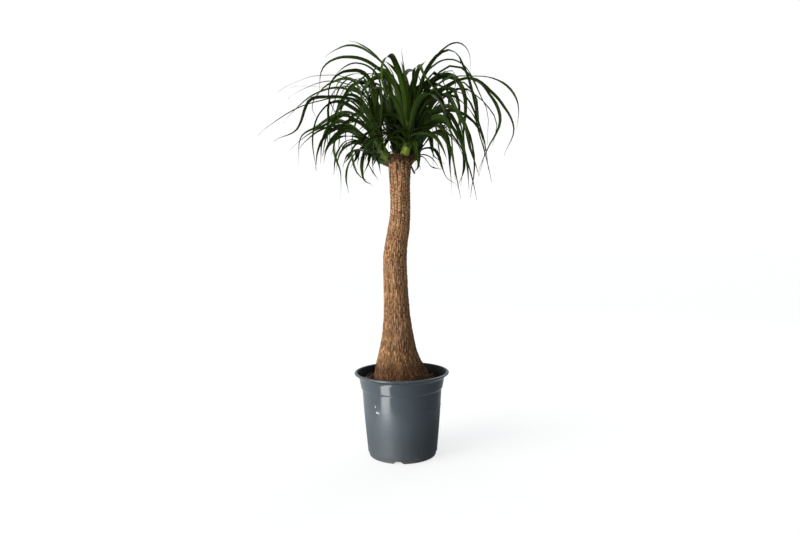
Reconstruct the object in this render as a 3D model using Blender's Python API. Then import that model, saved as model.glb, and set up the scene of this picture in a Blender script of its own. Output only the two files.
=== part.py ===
"""A ponytail palm in a plastic nursery pot, built piece by piece.

Metres, +Z up. The origin is the centre of the pot's foot, on the surface it stands on, and -Y is the
front. The pot holds a body of soil, the soil holds the foot of the trunk, and five leafy shoots stand on
the trunk's rounded top. Each leaf is its own blade, seated on the side of its shoot.
"""

import math

import bmesh
import bpy
from mathutils import Vector

CM = 0.01
MM = 0.001
GAP = 0.0003  # the clearance between pieces that touch

# Pot
SIDES = 48
POT_HEIGHT = 0.210
RIM_RADIUS = 0.120
# The rolled rim, from under its lip over the crown to the inside, in millimetres: how far each point lies
# inside the rim's radius, and how far below the pot's height
RIM_SECTION = (
    (9.5, 10.0), (2.5, 5.6), (0.2, 3.8), (0.0, 2.4), (1.2, 0.8), (3.6, 0.0), (6.0, 0.4), (8.2, 2.2),
)
COLLAR_TOP_RADIUS = 0.1085
COLLAR_TOP_Z = 0.1955
COLLAR_FOOT_RADIUS = 0.1040
COLLAR_FOOT_Z = 0.175
COLLAR_WALL = 0.0026
COLLAR_EDGE_RADIUS = 0.1032  # the rounded lower edge of the collar
COLLAR_EDGE_Z = 0.173
BODY_TOP_RADIUS = 0.1008
BODY_TOP_Z = 0.168
BODY_FOOT_RADIUS = 0.0880
BODY_FOOT_Z = 0.009
BODY_BOW = 0.8  # below 1, the taper bulges slightly
BODY_MIDDLE_HEIGHTS = (0.05, 0.10)
FOOT_RADIUS = 0.0850
FOOT_EDGE_RADIUS = 0.0866  # the rounded outer edge of the foot
FOOT_EDGE_Z = 0.0025
FOOT_INNER_RADIUS = 0.0720
FOOT_RING_SLOPE = 0.001  # how far the ring's inner side leans in on its way up to the floor
WALL = 0.0022
FLOOR_Z = 0.0062  # the underside of the floor, above the foot ring
FLOOR_TOP_Z = 0.0088

# Notches in the foot ring, and drain holes in the floor; the first of each is near the front
NOTCH_COUNT = 3
DRAIN_HOLE_COUNT = 6
DRAIN_FIRST_ANGLE = math.radians(-94)
NOTCH_WIDTH_BELOW = 0.024
NOTCH_WIDTH_ABOVE = 0.015
NOTCH_HEIGHT = 0.0055
CUTTER_MARGIN = 0.004  # how far a cutter reaches past what it cuts
DRAIN_HOLE_RADIUS = 0.005
DRAIN_HOLE_CENTRE = 0.060
DRAIN_HOLE_SIDES = 12

# Soil
SOIL_TOP_Z = 0.188
SOIL_MOUND = 0.003  # how far the soil rises from the pot's wall to the trunk
SOIL_MOUND_FOOT = 0.090  # the radius at which it starts to fall to the wall
SOIL_MOUND_FALL = 0.001
POCKET_HEIGHTS = (0.170, 0.160, 0.150)  # heights between the pocket's mouth and its floor

# Trunk: height, sideways lean and radius of its sections, from under the soil to the top
TRUNK_SIDES = 28
TRUNK_SECTIONS = (
    (0.140, 0.0000, 0.036),
    (0.150, 0.0000, 0.056),
    (0.170, 0.0000, 0.071),
    (0.191, 0.0000, 0.074),
    (0.207, -0.0025, 0.0695),
    (0.238, -0.0070, 0.0573),
    (0.269, -0.0078, 0.0480),
    (0.300, -0.0080, 0.0425),
    (0.345, -0.0090, 0.0362),
    (0.400, -0.0105, 0.0335),
    (0.460, -0.0122, 0.0321),
    (0.505, -0.0115, 0.0321),
    (0.535, -0.0080, 0.0308),
    (0.575, -0.0010, 0.0288),
    (0.625, 0.0036, 0.0272),
    (0.680, 0.0028, 0.0272),
    (0.715, 0.0030, 0.0295),
)
TRUNK_RING_STEP = 0.022
TRUNK_TOP_ANGLES = (5, 25, 45, 62, 78)  # degrees up from the level, for the rings of the rounded top

# The trunk's rounded top, and the shoots that stand on it
TOP_CENTRE = Vector((0.003, 0.0, 0.730))
TOP_RADIUS = 0.030
SHOOT_BASE_RADIUS = 0.0095
SHOOT_MIDDLE_RADIUS = 0.0105
SHOOT_TIP_RADIUS = 0.0045
SHOOT_THICKEST_AT = 0.4  # the share of its length at which a shoot is thickest
SHOOT_STRAIGHT = 0.45  # how far it runs squarely out of the trunk before it turns, as a share of its reach
SHOOT_STEPS = 8
SHOOTS = {  # where each shoot leaves the trunk's top, as a direction, and where it ends
    "main": (Vector((0.36, -0.46, 0.81)), Vector((0.024, -0.030, 0.832))),
    "left": (Vector((-0.82, -0.22, 0.53)), Vector((-0.056, -0.022, 0.822))),
    "low": (Vector((-0.78, 0.56, 0.28)), Vector((-0.078, 0.026, 0.785))),
    "right": (Vector((0.78, 0.34, 0.52)), Vector((0.052, 0.022, 0.812))),
    "back": (Vector((-0.12, 0.72, 0.68)), Vector((-0.014, 0.060, 0.812))),
}

# Leaves: how far up its shoot each is seated (0 to 1), its width in millimetres, and the points in
# centimetres that its blade passes through on the way to its tip
LEAVES = {
    "main": (
        (0.75, 11, ((-1.5, -3, 94), (-7, -2, 100.5), (-12.5, 0, 103), (-17, 1, 101.5))),
        (0.60, 11, ((-0.5, -5, 90.5), (-5, -8, 95), (-11, -10, 97), (-17.5, -9, 95), (-18.5, -8, 91.5))),
        (0.95, 20, ((1.8, -4.6, 88), (0.5, -6, 93.5), (-2.5, -9, 96))),
        (0.85, 14, ((1.5, -6, 90), (-0.5, -9, 96), (-1.5, -12, 96.5), (-3, -15, 94.5), (-3.5, -17, 90),
                    (-1.5, -18, 83.5))),
        (1.00, 7, ((2, -3, 90), (1.5, -3, 96.5), (1, -3, 100.5))),
        (0.90, 14, ((2.5, -2, 89), (2, -1, 94), (1, 0, 98.5))),
        (0.80, 13, ((4.5, -5.5, 89), (4, -7, 94.5), (5, -9, 95), (6, -12, 92.5), (7.5, -14, 89.5),
                    (10, -15, 86))),
        (0.70, 15, ((5, -3, 90.5), (8.5, -2, 97.5), (12, 0, 102), (15.5, 1, 103.5), (18, 2, 101.5),
                    (18.5, 3, 97.5))),
        (0.60, 15, ((5.5, -6, 90.5), (8.5, -8, 96.5), (12.5, -9, 98.5), (15, -10, 95), (17, -11, 89),
                    (18.5, -12, 81), (20, -12, 75.5), (19, -11, 70.5))),
        (0.65, 9, ((6, 1, 94), (9.5, 4, 99), (13.5, 6, 101), (17.5, 8, 100), (20.5, 9, 96))),
        (0.15, 14, ((3.5, -7, 77.5), (4, -8, 74.5), (5, -8, 71.5))),
        (0.50, 13, ((0, -9, 85.5), (-3, -13.5, 88.5), (-5.5, -18, 87.5), (-6, -25, 85),
                    (-7.5, -29, 80.5))),
        (0.40, 13, ((4, -10, 85), (6, -16, 86.5), (8, -23, 84), (9.5, -28.5, 79.5), (9.5, -31.5, 74))),
    ),
    "left": (
        (0.90, 12, ((-4, -2, 90), (-5, -3, 95), (-9.5, -4, 97.5), (-12.5, -5, 96.5), (-15, -5, 94.5))),
        (0.75, 12, ((-6, -4, 89.5), (-7.5, -6, 94), (-11, -8, 94.5), (-15, -10, 92), (-16, -11, 87.5),
                    (-14, -11, 83))),
        (0.80, 10, ((-5.5, 2, 90), (-8, 3, 96), (-12.5, 5, 97), (-16, 7, 95), (-17, 8, 90))),
        (0.60, 11, ((-9, -2, 89), (-11.5, 0, 94.5), (-16, 1, 94.5), (-20, 2, 92), (-22, 3, 88.5),
                    (-21, 3, 86))),
        (0.70, 7, ((-8.5, 4, 91.5), (-14, 7, 95.5), (-20, 9, 96.5), (-28.5, 12, 94))),
        (0.45, 11, ((-10, 1.5, 88.5), (-13.5, 5, 93.5), (-21, 8, 93.5), (-26, 10, 91), (-30, 11, 87.5))),
        (0.40, 9, ((-9, -3.5, 85.5), (-12.5, -7, 88), (-18, -10, 87), (-24.5, -13, 84),
                   (-30.5, -15, 79.5))),
        (0.45, 13, ((-8.5, -7, 86), (-12, -12, 87), (-16.5, -15, 86.5), (-19.5, -17, 85.5),
                    (-21, -18, 82), (-22.5, -19, 78.5), (-26, -19, 77))),
        (0.30, 14, ((-8, -8, 83), (-11, -12, 85), (-14, -15, 85.5), (-17, -17, 83), (-18.5, -18, 79.5),
                    (-19, -18, 75.5), (-18.5, -18, 71.5))),
        (0.25, 14, ((-8.5, 2, 83.5), (-12, 4, 87), (-17, 7, 87), (-22, 9, 84.5), (-26, 10, 82.5),
                    (-27, 11, 77))),
        (0.20, 12, ((-7, -8, 84.5), (-9.5, -13, 87), (-12, -17, 86), (-13.5, -19, 82.5),
                    (-14, -19, 76.5), (-13.5, -19, 70))),
        (0.95, 10, ((-5.5, -5, 85.5), (-5, -8, 88.5), (-5.5, -12, 90), (-6, -17, 89.5), (-7, -22, 86),
                    (-7.5, -25, 81))),
        (0.55, 12, ((-6.5, 6.5, 88), (-10, 12, 96.5), (-15, 20, 99.5), (-18.5, 26, 96), (-20.5, 28, 89))),
    ),
    "low": (
        (0.80, 9, ((-10.5, 0, 78.5), (-12.5, -1, 78), (-14.5, -2, 76), (-15.5, -2, 72.5))),
        (0.60, 9, ((-10.5, 3, 77.5), (-13, 4, 76.5), (-14, 5, 75.5), (-14.5, 5, 73.5))),
        (0.60, 15, ((-10, -1.5, 76.5), (-10.5, -4, 74.5), (-11.5, -5, 72.5))),
        (0.35, 10, ((-8.5, 4.5, 76.5), (-9.5, 5, 74.5), (-9.5, 4.5, 72), (-9, 5, 70), (-7.5, 5, 69))),
        (0.30, 9, ((-7, -1.5, 75.5), (-7.5, -3, 73.5), (-8.5, -4, 71))),
        (0.20, 8, ((-7.5, 1, 75.5), (-7, 1, 72.5), (-5.5, 2, 70))),
        (0.90, 11, ((-10, -2, 79.5), (-13, -5, 79.5), (-15.5, -8, 78), (-17, -9, 76),
                    (-17.5, -10, 73.5))),
        (0.95, 12, ((-10.5, 3, 82.5), (-13.5, 5, 84), (-16, 7, 82), (-17, 8, 78), (-15.5, 8, 73),
                    (-15.5, 8, 67))),
    ),
    "right": (
        (0.80, 14, ((6.5, 1, 88.5), (8, 0, 93), (12, -1, 95), (15, -2, 93), (16.5, -3, 86.5),
                    (16, -3, 81), (16.5, -3, 74.5))),
        (0.75, 12, ((7.5, 3, 89.5), (12, 4, 95), (19, 4, 96), (25, 2, 94.5), (29, 0, 90.5),
                    (30, -1, 86.5), (29.5, -2, 83))),
        (0.65, 12, ((8.5, 5, 89), (13, 7, 94), (19.5, 8, 96.5), (24, 8, 93.5), (28, 8, 89),
                    (30.5, 8, 83), (28.5, 8, 78))),
        (0.60, 13, ((8.5, -2, 88), (13, -4, 92), (17.5, -6, 92.5), (21.5, -8, 88.5), (24, -9, 82),
                    (21.5, -9, 76.5), (19.5, -8, 72))),
        (0.50, 14, ((8, -4, 86.5), (10.5, -7, 89), (13, -9, 86), (14.5, -11, 81), (15, -12, 76.5))),
        (0.35, 12, ((8, 4.5, 83), (11.5, 6.5, 85), (14, 8, 82), (17, 9, 76.5), (17.5, 9, 73.5),
                    (16, 9, 69.5))),
        (0.35, 15, ((6.5, -3.5, 82), (10, -6, 83.5), (12, -9, 80), (12.5, -10, 74), (14, -11, 65.5))),
        (0.25, 12, ((8.5, 1, 80.5), (11, 1.5, 81.5), (12.5, 2, 79), (13, 2, 73.5), (13.5, 3, 67.5))),
        (0.10, 9, ((6, 4.5, 77.5), (9, 4, 77.5), (11, 5, 74), (12.5, 6, 70.5), (14.5, 6, 69))),
        (0.05, 9, ((6, 0, 75), (8, -1, 72.5), (10, -1, 72))),
        (0.60, 12, ((7.5, 11, 88), (12, 17, 94.5), (16.5, 24, 93.5), (19, 28, 87))),
    ),
    "back": (
        (0.50, 13, ((-3.5, 7.5, 88), (-3.5, 11, 96), (-6, 17, 100.5), (-10.5, 24, 99.5),
                    (-13, 29, 93.5))),
        (0.60, 13, ((1, 9, 90), (1.5, 11.5, 97.5), (3.5, 17, 101.5), (6.5, 25, 101), (8, 31, 95))),
        (0.70, 13, ((-1, 10.5, 88.5), (-2, 15, 96), (-2.5, 21, 99), (-4, 28, 98), (-4.5, 31.5, 91.5))),
        (0.30, 12, ((-3.5, 8, 85), (-7, 14, 90), (-11, 21, 90.5), (-13.5, 26, 85.5), (-14.5, 27, 78.5))),
        (0.40, 12, ((1, 9, 85.5), (4.5, 14, 90.5), (8.5, 20, 90.5), (11, 24, 86.5), (11.5, 25, 79))),
        (0.95, 12, ((-0.5, 5, 90.5), (-1, 4, 96.5), (-2.5, 3, 99))),
        (0.15, 12, ((0, 12, 87), (1, 18, 88.5), (1.5, 25, 85), (1.5, 27, 78))),
    ),
}
LEAF_STEPS = 4  # segments between two points of a leaf's route
LEAF_FOOT_SHARE = 0.35  # a blade's width at its foot, as a share of its full width
LEAF_TIP_SHARE = 0.16
LEAF_WIDEST_AT = 0.25  # the share of its length at which a blade is widest
LEAF_SPREAD = 0.8  # how far a blade leans away from its shoot where it starts, against 1 along the shoot
LEAF_FOOT_REACH = 0.018  # how far that first direction is kept
LEAF_TAPER = 1.3  # above 1, the blade stays wide for longer before it narrows to its tip
LOWEST_SEAT = 0.12  # the share of a shoot's length at which its lowest leaf could sit
SEAT_SPAN = 0.85
# The blade's cross-section, one unit wide: a shallow V, thickest at the midrib
LEAF_SECTION = ((-0.5, 0.12), (0.0, 0.03), (0.5, 0.12), (0.0, -0.07))

# Colours: base colour, roughness and metallic
POT_FINISH = ((0.085, 0.11, 0.135), 0.32, 0.0)
SOIL_FINISH = ((0.05, 0.026, 0.015), 0.95, 0.0)
TRUNK_FINISH = ((0.25, 0.14, 0.075), 0.85, 0.0)
SHOOT_FINISH = ((0.22, 0.26, 0.03), 0.55, 0.0)
LEAF_FINISH = ((0.03, 0.085, 0.012), 0.45, 0.0)

# Edges sharper than these angles, in degrees, are kept sharp
POT_SHARP = 35
TRUNK_SHARP = 50


def clear_scene():
    for thing in list(bpy.data.objects):
        bpy.data.objects.remove(thing, do_unlink=True)


def finish(name, values):
    """A Principled material with one base colour, roughness and metallic value."""
    colour, roughness, metallic = values
    material = bpy.data.materials.new(name)
    material.use_nodes = True
    shader = material.node_tree.nodes["Principled BSDF"]
    shader.inputs["Base Color"].default_value = (*colour, 1.0)
    shader.inputs["Roughness"].default_value = roughness
    shader.inputs["Metallic"].default_value = metallic
    return material


def add_object(name, data, material):
    thing = bpy.data.objects.new(name, data)
    bpy.context.scene.collection.objects.link(thing)
    data.materials.append(material)
    return thing


def as_guide(thing):
    """A cutter or a profile: not part of the plant."""
    thing.hide_render = True
    thing.display_type = "WIRE"


def smooth_value(sections, height, column):
    """A value read at a height from a list of sections, on a smooth curve through them."""
    heights = [section[0] for section in sections]
    last = len(sections) - 1
    height = min(max(height, heights[0]), heights[last])
    start = max(i for i in range(last) if heights[i] <= height)
    share = (height - heights[start]) / (heights[start + 1] - heights[start])

    def slope(i):
        low, high = max(i - 1, 0), min(i + 1, last)
        return (sections[high][column] - sections[low][column]) / (heights[high] - heights[low])

    step = heights[start + 1] - heights[start]
    begin, end = sections[start][column], sections[start + 1][column]
    square, cube = share**2, share**3
    return (
        (2 * cube - 3 * square + 1) * begin
        + (cube - 2 * square + share) * step * slope(start)
        + (3 * square - 2 * cube) * end
        + (cube - square) * step * slope(start + 1)
    )


def shade(mesh, sharp_degrees):
    mesh.shade_smooth()
    mesh.set_sharp_from_angle(angle=math.radians(sharp_degrees))


def finished_mesh(name, shape):
    """A mesh from an edited shape, with its faces pointing out."""
    bmesh.ops.recalc_face_normals(shape, faces=shape.faces)
    mesh = bpy.data.meshes.new(name)
    shape.to_mesh(mesh)
    shape.free()
    return mesh


def turned_mesh(name, profile, sides):
    """A closed outline of (radius, height) points turned round the Z axis."""
    shape = bmesh.new()
    rings = []
    for radius, height in profile:
        if radius == 0:
            rings.append([shape.verts.new((0, 0, height))])
            continue
        angles = [2 * math.pi * i / sides for i in range(sides)]
        corners = [(radius * math.cos(a), radius * math.sin(a), height) for a in angles]
        rings.append([shape.verts.new(corner) for corner in corners])
    for lower, upper in zip(rings, rings[1:] + rings[:1]):
        for i in range(sides):
            corners = [lower[i % len(lower)], lower[(i + 1) % len(lower)]]
            corners += [upper[(i + 1) % len(upper)], upper[i % len(upper)]]
            face = list(dict.fromkeys(corners))
            if len(face) > 2:
                shape.faces.new(face)
    mesh = finished_mesh(name, shape)
    shade(mesh, POT_SHARP)
    return mesh


def body_radius(height):
    """The pot's outer radius between its foot and its shoulder: a taper that bulges slightly."""
    share = max(height - BODY_FOOT_Z, 0.0) / (BODY_TOP_Z - BODY_FOOT_Z)
    return BODY_FOOT_RADIUS + (BODY_TOP_RADIUS - BODY_FOOT_RADIUS) * share**BODY_BOW


def inner_radius(height):
    """The radius of the pot's inner wall."""
    return body_radius(height) - WALL


def pot_profile():
    rim = [(RIM_RADIUS - inset * MM, POT_HEIGHT - drop * MM) for inset, drop in RIM_SECTION]
    foot = [(FOOT_RADIUS, 0.0), (FOOT_EDGE_RADIUS, FOOT_EDGE_Z), (BODY_FOOT_RADIUS, BODY_FOOT_Z)]
    taper = [(body_radius(height), height) for height in BODY_MIDDLE_HEIGHTS]
    collar = [
        (BODY_TOP_RADIUS, BODY_TOP_Z),
        (COLLAR_EDGE_RADIUS, COLLAR_EDGE_Z),
        (COLLAR_FOOT_RADIUS, COLLAR_FOOT_Z),
        (COLLAR_TOP_RADIUS, COLLAR_TOP_Z),
    ]
    inside = [
        (COLLAR_TOP_RADIUS - COLLAR_WALL, COLLAR_TOP_Z),
        (COLLAR_FOOT_RADIUS - COLLAR_WALL, COLLAR_FOOT_Z),
    ]
    inner_heights = (BODY_TOP_Z, *reversed(BODY_MIDDLE_HEIGHTS), FLOOR_TOP_Z)
    inside += [(inner_radius(height), height) for height in inner_heights]
    floor = [(0.0, FLOOR_TOP_Z), (0.0, FLOOR_Z)]
    ring = [(FOOT_INNER_RADIUS - FOOT_RING_SLOPE, FLOOR_Z), (FOOT_INNER_RADIUS, 0.0)]
    return foot + taper + collar + rim + inside + floor + ring


def cutter_object(name, shape, material):
    cutter = add_object(name, finished_mesh(name, shape), material)
    as_guide(cutter)
    return cutter


def notch_cutter(angle, material):
    """A bar with a trapezoid end, laid across the foot ring."""
    shape = bmesh.new()
    half_below, half_above = NOTCH_WIDTH_BELOW / 2, NOTCH_WIDTH_ABOVE / 2
    flare = half_below + (half_below - half_above) * CUTTER_MARGIN / NOTCH_HEIGHT
    outline = [
        (-flare, -CUTTER_MARGIN),
        (flare, -CUTTER_MARGIN),
        (half_above, NOTCH_HEIGHT),
        (-half_above, NOTCH_HEIGHT),
    ]
    inner = FOOT_INNER_RADIUS - CUTTER_MARGIN
    outer = BODY_FOOT_RADIUS + CUTTER_MARGIN
    near = [shape.verts.new((inner, y, z)) for y, z in outline]
    face = shape.faces.new(near)
    moved = bmesh.ops.extrude_face_region(shape, geom=[face])
    far = [v for v in moved["geom"] if isinstance(v, bmesh.types.BMVert)]
    bmesh.ops.translate(shape, verts=far, vec=(outer - inner, 0, 0))
    cutter = cutter_object("notch_cutter", shape, material)
    cutter.rotation_euler.z = angle
    return cutter


def drain_cutter(angle, material):
    """A short rod through the floor."""
    shape = bmesh.new()
    bmesh.ops.create_cone(
        shape,
        cap_ends=True,
        segments=DRAIN_HOLE_SIDES,
        radius1=DRAIN_HOLE_RADIUS,
        radius2=DRAIN_HOLE_RADIUS,
        depth=FLOOR_TOP_Z - FLOOR_Z + 2 * CUTTER_MARGIN,
    )
    cutter = cutter_object("drain_cutter", shape, material)
    middle_z = (FLOOR_Z + FLOOR_TOP_Z) / 2
    cutter.location = (DRAIN_HOLE_CENTRE * math.cos(angle), DRAIN_HOLE_CENTRE * math.sin(angle), middle_z)
    return cutter


def make_pot():
    material = finish("pot_plastic", POT_FINISH)
    pot = add_object("pot", turned_mesh("pot", pot_profile(), SIDES), material)
    cutters = []
    for count, make_cutter in ((NOTCH_COUNT, notch_cutter), (DRAIN_HOLE_COUNT, drain_cutter)):
        angles = [DRAIN_FIRST_ANGLE + 2 * math.pi * i / count for i in range(count)]
        cutters += [make_cutter(angle, material) for angle in angles]
    for cutter in cutters:
        cut = pot.modifiers.new(f"{cutter.name}_cut", "BOOLEAN")
        cut.operation = "DIFFERENCE"
        cut.solver = "EXACT"
        cut.object = cutter
    return pot


def trunk_radius(height):
    return smooth_value(TRUNK_SECTIONS, height, 2)


def make_soil():
    """The soil fills the pot to 2 cm under its rim, with a pocket for the trunk's foot."""
    clearance = 2 * GAP
    outside = [(0.0, FLOOR_TOP_Z + clearance)]
    for height in (FLOOR_TOP_Z + clearance, *BODY_MIDDLE_HEIGHTS, BODY_TOP_Z):
        outside.append((inner_radius(height) - clearance, height))
    for height in (COLLAR_FOOT_Z, SOIL_TOP_Z):
        outside.append((COLLAR_FOOT_RADIUS - COLLAR_WALL - clearance, height))
    mound_z = SOIL_TOP_Z + SOIL_MOUND
    pocket_floor = TRUNK_SECTIONS[0][0] - GAP
    pocket = [(trunk_radius(height) + clearance, height) for height in (mound_z, *POCKET_HEIGHTS)]
    pocket.append((TRUNK_SECTIONS[0][2] + clearance, pocket_floor))
    profile = outside + [(SOIL_MOUND_FOOT, mound_z - SOIL_MOUND_FALL)] + pocket + [(0.0, pocket_floor)]
    return add_object("soil", turned_mesh("soil", profile, TRUNK_SIDES), finish("soil", SOIL_FINISH))


def make_trunk():
    """Level rings lofted up the trunk, closed by a rounded top."""
    lowest, highest = TRUNK_SECTIONS[0][0], TRUNK_SECTIONS[-1][0]
    heights = [lowest, *reversed(POCKET_HEIGHTS), SOIL_TOP_Z + SOIL_MOUND]
    steps = math.ceil((highest - heights[-1]) / TRUNK_RING_STEP)
    first = heights[-1]
    heights += [first + (highest - first) * (i + 1) / steps for i in range(steps)]
    rings = [(z, smooth_value(TRUNK_SECTIONS, z, 1), trunk_radius(z)) for z in heights]
    for degrees in TRUNK_TOP_ANGLES:
        angle = math.radians(degrees)
        height = TOP_CENTRE.z + TOP_RADIUS * math.sin(angle)
        rings.append((height, TOP_CENTRE.x, TOP_RADIUS * math.cos(angle)))
    shape = bmesh.new()
    loops = []
    for z, x, radius in rings:
        angles = [2 * math.pi * i / TRUNK_SIDES for i in range(TRUNK_SIDES)]
        loops.append([shape.verts.new((x + radius * math.cos(a), radius * math.sin(a), z)) for a in angles])
    for lower, upper in zip(loops, loops[1:]):
        for i in range(TRUNK_SIDES):
            j = (i + 1) % TRUNK_SIDES
            shape.faces.new((lower[i], lower[j], upper[j], upper[i]))
    shape.faces.new(loops[0])
    shape.faces.new(loops[-1])
    mesh = finished_mesh("trunk", shape)
    shade(mesh, TRUNK_SHARP)
    return add_object("trunk", mesh, finish("bark", TRUNK_FINISH))


def shoot_point(shoot, share):
    """A point on a shoot's middle line: it leaves the trunk's top squarely and turns towards its end."""
    direction, end = SHOOTS[shoot]
    start = TOP_CENTRE + direction.normalized() * (TOP_RADIUS + GAP)
    bend = start + direction.normalized() * (end - start).length * SHOOT_STRAIGHT
    return start * (1 - share) ** 2 + bend * 2 * share * (1 - share) + end * share**2


def shoot_radius(share):
    if share < SHOOT_THICKEST_AT:
        return SHOOT_BASE_RADIUS + (SHOOT_MIDDLE_RADIUS - SHOOT_BASE_RADIUS) * share / SHOOT_THICKEST_AT
    past = (share - SHOOT_THICKEST_AT) / (1 - SHOOT_THICKEST_AT)
    return SHOOT_MIDDLE_RADIUS + (SHOOT_TIP_RADIUS - SHOOT_MIDDLE_RADIUS) * past


def make_shoot(shoot, material):
    line = bpy.data.curves.new(f"shoot_{shoot}", "CURVE")
    line.dimensions = "3D"
    line.bevel_depth = 1.0  # each point's radius gives the real one
    line.bevel_resolution = 4
    line.use_fill_caps = True
    spline = line.splines.new("POLY")
    spline.points.add(SHOOT_STEPS)
    for i, point in enumerate(spline.points):
        share = i / SHOOT_STEPS
        point.co = (*shoot_point(shoot, share), 1.0)
        point.radius = shoot_radius(share)
    spline.use_smooth = True
    return add_object(f"shoot_{shoot}", line, material)


def leaf_section(material):
    """The blade's cross-section, which every leaf is swept from."""
    line = bpy.data.curves.new("leaf_section", "CURVE")
    line.dimensions = "2D"
    spline = line.splines.new("POLY")
    spline.points.add(len(LEAF_SECTION) - 1)
    for point, (across, up) in zip(spline.points, LEAF_SECTION):
        point.co = (across, up, 0.0, 1.0)
    spline.use_cyclic_u = True
    section = add_object("leaf_section", line, material)
    as_guide(section)
    return section


def width_share(share):
    """How wide a blade is at a share of its length, against its full width."""
    if share < LEAF_WIDEST_AT:
        return LEAF_FOOT_SHARE + (1 - LEAF_FOOT_SHARE) * math.sin(share / LEAF_WIDEST_AT * math.pi / 2)
    past = (share - LEAF_WIDEST_AT) / (1 - LEAF_WIDEST_AT)
    return 1 - (1 - LEAF_TIP_SHARE) * past**LEAF_TAPER


def section_corners(middle, along, width):
    """The corners of a blade's cross-section at a point, with its open side up."""
    up = (Vector((0, 0, 1)) - along * along.z).normalized()
    side = along.cross(up)
    return [middle + (side * across + up * rise) * width for across, rise in LEAF_SECTION]


def leaf_foot(shoot, seat, towards, width):
    """Where a blade starts, on the side of its shoot that faces its first point, and the way it leaves.

    The foot is slid out until the corner of its section nearest to the shoot clears it by the gap.
    """
    share = LOWEST_SEAT + SEAT_SPAN * seat
    middle = shoot_point(shoot, share)
    nearby = 0.01
    along = (shoot_point(shoot, share + nearby) - shoot_point(shoot, share - nearby)).normalized()
    outward = towards - middle
    outward = (outward - along * outward.dot(along)).normalized()
    leaving = (along + outward * LEAF_SPREAD).normalized()
    foot = middle + outward * shoot_radius(share)
    for _ in range(3):
        arms = [corner - middle for corner in section_corners(foot, leaving, width)]
        nearest = min((arm - along * arm.dot(along)).length for arm in arms)
        foot += outward * (shoot_radius(share) + GAP - nearest)
    return foot, leaving


def make_leaf(shoot, number, seat, width_mm, route_cm, section, material):
    name = f"leaf_{shoot}_{number:02d}"
    route = [Vector(point) * CM for point in route_cm]
    width = width_mm * MM
    foot, leaving = leaf_foot(shoot, seat, route[0], width * LEAF_FOOT_SHARE)
    points = [foot] + route
    lengths = [0.0]
    for before, after in zip(points, points[1:]):
        lengths.append(lengths[-1] + (after - before).length)
    line = bpy.data.curves.new(name, "CURVE")
    line.dimensions = "3D"
    line.bevel_mode = "OBJECT"
    line.bevel_object = section
    line.use_fill_caps = True
    line.resolution_u = LEAF_STEPS
    spline = line.splines.new("BEZIER")
    spline.bezier_points.add(len(points) - 1)
    for knot, point, length in zip(spline.bezier_points, points, lengths):
        knot.co = point
        knot.handle_left_type = "AUTO"
        knot.handle_right_type = "AUTO"
        knot.radius = width * width_share(length / lengths[-1])
    first = spline.bezier_points[0]
    first.handle_left_type = "FREE"
    first.handle_right_type = "FREE"
    reach = min(LEAF_FOOT_REACH, lengths[1] / 3)
    first.handle_left = foot - leaving * reach
    first.handle_right = foot + leaving * reach
    return add_object(name, line, material)


def main():
    clear_scene()
    make_pot()
    make_soil()
    make_trunk()
    shoot_material = finish("shoot_skin", SHOOT_FINISH)
    leaf_material = finish("leaf_blade", LEAF_FINISH)
    section = leaf_section(leaf_material)
    for shoot in SHOOTS:
        make_shoot(shoot, shoot_material)
    for shoot, leaves in LEAVES.items():
        for number, (seat, width_mm, route_cm) in enumerate(leaves, start=1):
            make_leaf(shoot, number, seat, width_mm, route_cm, section, leaf_material)


main()
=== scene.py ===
# %% [markdown]
# # A potted ponytail palm, finished around its CAD frame
# The real plant is a bottle-footed trunk in cracked bark. Five short shoots stand on its cut top, and each
# carries a head of long strap leaves. It grows in a plain grey nursery pot.
# The CAD model fixes every size and place, so each plain solid is swapped here for a piece with the real
# surface, made exactly where the frame says. Sizes are in metres unless a name says otherwise.

# %% Load the frame
import math
import random

import bmesh
import bpy
import numpy as np
from mathutils import Matrix, Vector, noise


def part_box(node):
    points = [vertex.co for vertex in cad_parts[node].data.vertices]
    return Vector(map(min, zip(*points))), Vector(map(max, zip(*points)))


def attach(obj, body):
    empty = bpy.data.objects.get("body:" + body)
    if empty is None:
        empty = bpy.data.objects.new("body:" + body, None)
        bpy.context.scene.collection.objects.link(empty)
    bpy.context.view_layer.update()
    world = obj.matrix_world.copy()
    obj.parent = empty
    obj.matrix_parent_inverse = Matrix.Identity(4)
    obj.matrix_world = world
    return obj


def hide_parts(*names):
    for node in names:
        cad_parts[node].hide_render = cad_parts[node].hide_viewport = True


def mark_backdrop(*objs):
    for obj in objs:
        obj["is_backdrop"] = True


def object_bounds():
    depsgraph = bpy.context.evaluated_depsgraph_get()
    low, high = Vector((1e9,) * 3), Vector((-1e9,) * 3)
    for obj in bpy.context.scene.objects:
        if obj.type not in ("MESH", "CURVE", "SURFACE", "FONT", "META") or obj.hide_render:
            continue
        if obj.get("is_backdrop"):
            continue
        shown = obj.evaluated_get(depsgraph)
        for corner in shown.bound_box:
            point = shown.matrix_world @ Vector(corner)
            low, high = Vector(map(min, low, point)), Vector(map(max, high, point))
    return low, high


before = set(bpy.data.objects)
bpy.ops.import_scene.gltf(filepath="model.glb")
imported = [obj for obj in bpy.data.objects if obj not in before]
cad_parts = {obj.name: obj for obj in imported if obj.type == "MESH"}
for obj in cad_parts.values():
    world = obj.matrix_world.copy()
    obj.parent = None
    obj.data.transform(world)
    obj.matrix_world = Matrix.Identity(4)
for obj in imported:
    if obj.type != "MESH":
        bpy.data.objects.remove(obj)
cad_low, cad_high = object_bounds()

MM = 0.001
print(f"{len(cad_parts)} CAD nodes, {(cad_high.z - cad_low.z) / MM:.0f} mm tall")

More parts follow.
